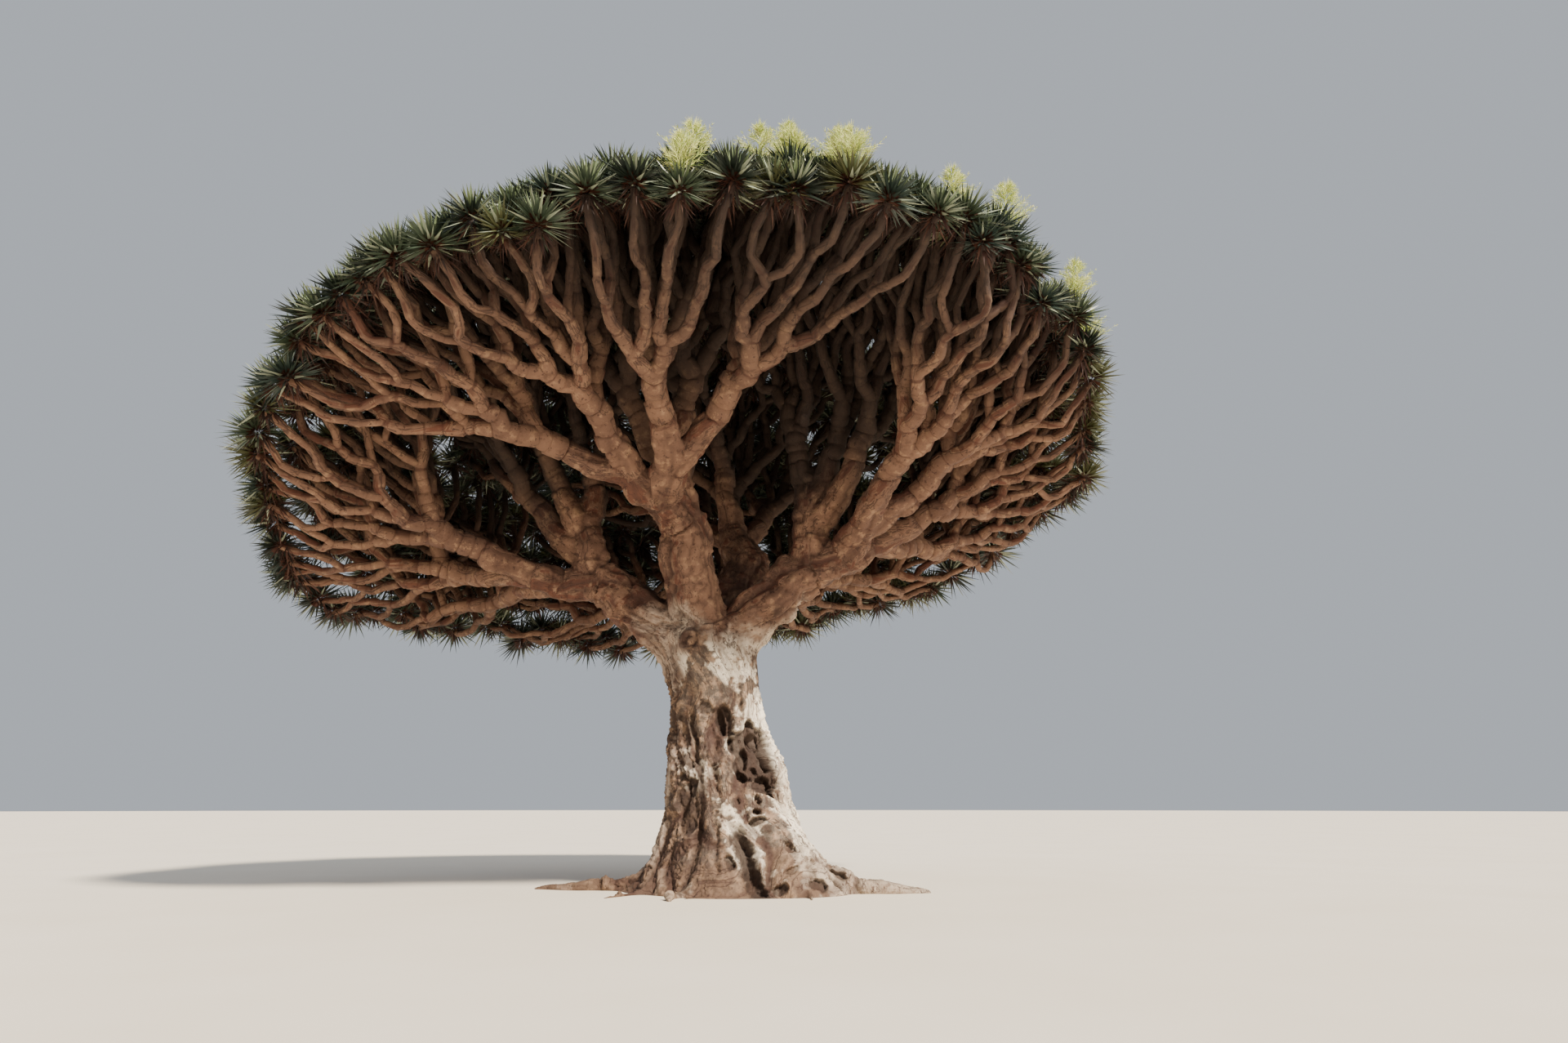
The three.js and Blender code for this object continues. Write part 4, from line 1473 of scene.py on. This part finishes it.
# %% Flower heads as one piece
PLUME_COLOURS = ((204, 214, 128), (228, 226, 160), (160, 182, 96))
PLUME_SHARES = (0.45, 0.35, 0.2)
PLUME_ROUGHNESS = 0.7
PLUME_UPRIGHT = 2
PLUME_FOOT = 0.05
PLUME_LENGTHS = (0.8, 1.05)
PLUME_DRAWS = 2 * 10 ** 6
# low and high share, count, angle, length
ARMS = (0.2, 1, 46, math.radians(54), 0.36)
SPRIGS = (0.15, 1, 30, math.radians(42), 0.12)
STEM_RADIUS = 0.011
ARM_RADIUS = 0.004
SPRIG_WIDTH = 0.006


def slivers(start, end, width, draw):
    """Slim single faces: two corners at each start and one at its end."""
    side = units(np.cross(end - start, draw.normal(size=start.shape))) * width / 2
    return np.stack([start - side, start + side, end], axis=1)


def plume_piece(materials):
    stems = []
    sprigs = []
    for twig in flowering:
        draw = np.random.default_rng(twig["cell"]["seed"] + PLUME_DRAWS)
        axis = np.array((rosette_axis(twig) + PLUME_UPRIGHT * UP).normalized())
        start = twig["path"][-1][None] + axis * PLUME_FOOT
        end = start + axis * PLUME_LENGTH * draw.uniform(*PLUME_LENGTHS)
        arms = branch_off(start, end, *ARMS, draw)
        twiglets = branch_off(*arms, *SPRIGS, draw)
        stems += [spikes(start, end, STEM_RADIUS), spikes(*arms, ARM_RADIUS)]
        sprigs.append(slivers(*twiglets, SPRIG_WIDTH, draw))
    stems = np.concatenate(stems)
    sprigs = np.concatenate(sprigs)
    draw = np.random.default_rng(len(flowering))
    sprig_slots = draw.choice(len(PLUME_SHARES), len(sprigs), p=PLUME_SHARES)
    slots = np.concatenate([np.zeros(len(stems) * len(SPIKE_FACES)), sprig_slots])
    corners = np.concatenate([stems.reshape(-1, 3), sprigs.reshape(-1, 3)])
    sprig_faces = np.arange(len(stems) * SPIKE_CORNERS, len(corners)).reshape(-1, 3)
    faces = np.concatenate([copied(SPIKE_FACES, len(stems), SPIKE_CORNERS), sprig_faces])
    return mesh_of("flower_heads", corners, faces, materials, slots)


flowers = plume_piece([leaf_finish(f"flower_{i}", shade, PLUME_ROUGHNESS)
                       for i, shade in enumerate(PLUME_COLOURS)])
print("flower faces:", len(flowers.data.polygons))

# %% [markdown]
# ## Bark
#
# The boughs are ochre and tan, mottled, with red-brown resin in the creases and forks; painted shade
# darkens the furrows between their ropes and cords, and the trunk's. The trunk is a pale grey-cream skin,
# paler on its sunny side as painted sunlight; its shaded side is patched where bark has gone, the patches
# thickest there as painted shade; its foot is browned by soil, and its hollows are dark, rotten wood
# darkened further as painted shade. The limbs are painted darker well above the crown's underside, as
# painted shade where little light comes. One finish serves trunk, boughs and twigs, led by the masks
# painted on their meshes, so it runs on unbroken where one piece ends and the next begins.

# %% Bark finish
TAN = ((96, 69, 55), (118, 88, 70))
LIGHT_SPOTS = (158, 126, 99)
DARK_SPOTS = (72, 45, 32)
PEELED = ((58, 29, 21), (102, 56, 38))
RESIN = (68, 36, 25)
CREAM = ((202, 188, 168), (246, 236, 218))
CREAM_STREAKS = (118, 92, 74)
CREAM_SPOTS = (122, 94, 75)
LOST_BARK_AND_SHADE = ((50, 33, 25), (134, 106, 83))
SOILED = ((62, 43, 33), (146, 117, 92))
PLATE_EDGES = (48, 27, 21)
DOTS = (52, 27, 21)
SPECKS = (84, 60, 46)
FURROW_SHADE = (60, 36, 27)
ROTTEN_AND_SHADED = ((18, 11, 8), (66, 43, 30))
# painted shade for limbs well above the crown's underside
PAINTED_CROWN_SHADE = (24, 15, 12)


def bark_finish(name):
    paint = Finish(name, roughness=0.85)
    grain = paint.node("ShaderNodeAttribute", {"attribute_name": "grain"}, out="Vector")
    patches = paint.noise(1.5, detail=3)
    mottle = paint.noise(10, detail=5, roughness=0.65)
    plates = paint.noise(4.2, detail=4, roughness=0.6, place=grain)
    streaks = paint.noise(20, detail=3, place=grain)
    fine = paint.noise(70, detail=3)
    edges = paint.contour(plates, 0.5, 0.014) + paint.contour(plates, 0.38, 0.01)
    dots = paint.rise(paint.noise(24, detail=2), 0.63, 0.69)
    specks = paint.rise(paint.noise(34, detail=5, roughness=0.7), 0.55, 0.64)

    peeled = paint.mix(streaks, *PEELED)
    resin = paint.rise(paint.mask("stain") * 0.7 + paint.mask("crease") * 0.7 + mottle * 0.7, 0.72, 1.15)
    tan = paint.layered(
        paint.mix(paint.rise(patches, 0.35, 0.65), *TAN),
        (paint.rise(mottle, 0.52, 0.66) * 0.5, LIGHT_SPOTS),
        (paint.rise(mottle, 0.46, 0.32) * 0.6, DARK_SPOTS),
        (paint.rise(plates, 0.46, 0.42) * 0.85, peeled),
        (resin * 0.7, RESIN))
    skin = paint.layered(
        paint.mix(paint.rise(patches, 0.3, 0.7), *CREAM),
        (paint.rise(streaks, 0.5, 0.32) * 0.7, CREAM_STREAKS),
        (paint.rise(mottle, 0.46, 0.33) * 0.65, CREAM_SPOTS))
    lost = paint.mix(paint.rise(mottle, 0.44, 0.62), *LOST_BARK_AND_SHADE)
    soiled = paint.mix(mottle, *SOILED)
    rotten_and_shaded = paint.mix(streaks, *ROTTEN_AND_SHADED)
    base = paint.layered(
        # pale skin, fuller on the sunny side as painted sunlight
        paint.mix(paint.mask("pale"), tan, skin),
        # lost bark, thickest on the shaded side as painted shade
        (paint.mask("worn_and_shaded") * 0.9, lost),
        (paint.mask("soil") * 0.7, soiled),
        (edges * 0.7, PLATE_EDGES),
        (dots * 0.7, DOTS),
        (specks * paint.mask("pale") * 0.6, SPECKS),
        # painted shade in the furrows
        (paint.mask("furrow_shade") * 0.88, FURROW_SHADE),
        # rotten wood in the hollows, darkened near black as painted shade
        (paint.mask("pit") * 0.95, rotten_and_shaded),
        # painted shade deep in the crown
        (paint.mask("deep") * 0.85, PAINTED_CROWN_SHADE))
    height = mottle * 0.5 + streaks * 0.5 + fine * 0.25 - edges * 0.3 + paint.rise(plates, 0.4, 0.46) * 0.2
    return paint.wear(base, height=height, distance=0.02, strength=0.7)


bark = bark_finish("bark")
for piece in (trunk_piece, bough_piece, *twig_pieces.values()):
    piece.data.materials.clear()
    piece.data.materials.append(bark)

# %% [markdown]
# ## Handing over
#
# Every new piece rides on the one body, and the solids that it stands for are hidden.

# %% Riding and replacing
root = next(iter(frame["bodies"]))


def stands_for(piece, names):
    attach(piece, root)
    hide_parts(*names)


def nodes_of(kind, side=""):
    return [name for name in frame["nodes"] if f"_{kind}_" in name and name.startswith(side)]


stands_for(trunk_piece, ["trunk"])
stands_for(bough_piece, nodes_of("bough"))
for side in SIDES:
    masses = nodes_of("foliage", side)
    stands_for(twig_pieces[side], masses)
    stands_for(leaf_pieces[side], masses)
    stands_for(dry_pieces[side], masses)
stands_for(flowers, nodes_of("foliage", "front") + nodes_of("foliage", "right"))
total = sum(len(face.vertices) - 2 for thing in bpy.data.objects
            if thing.type == "MESH" and not thing.hide_render for face in thing.data.polygons)
print("triangles in all:", total)
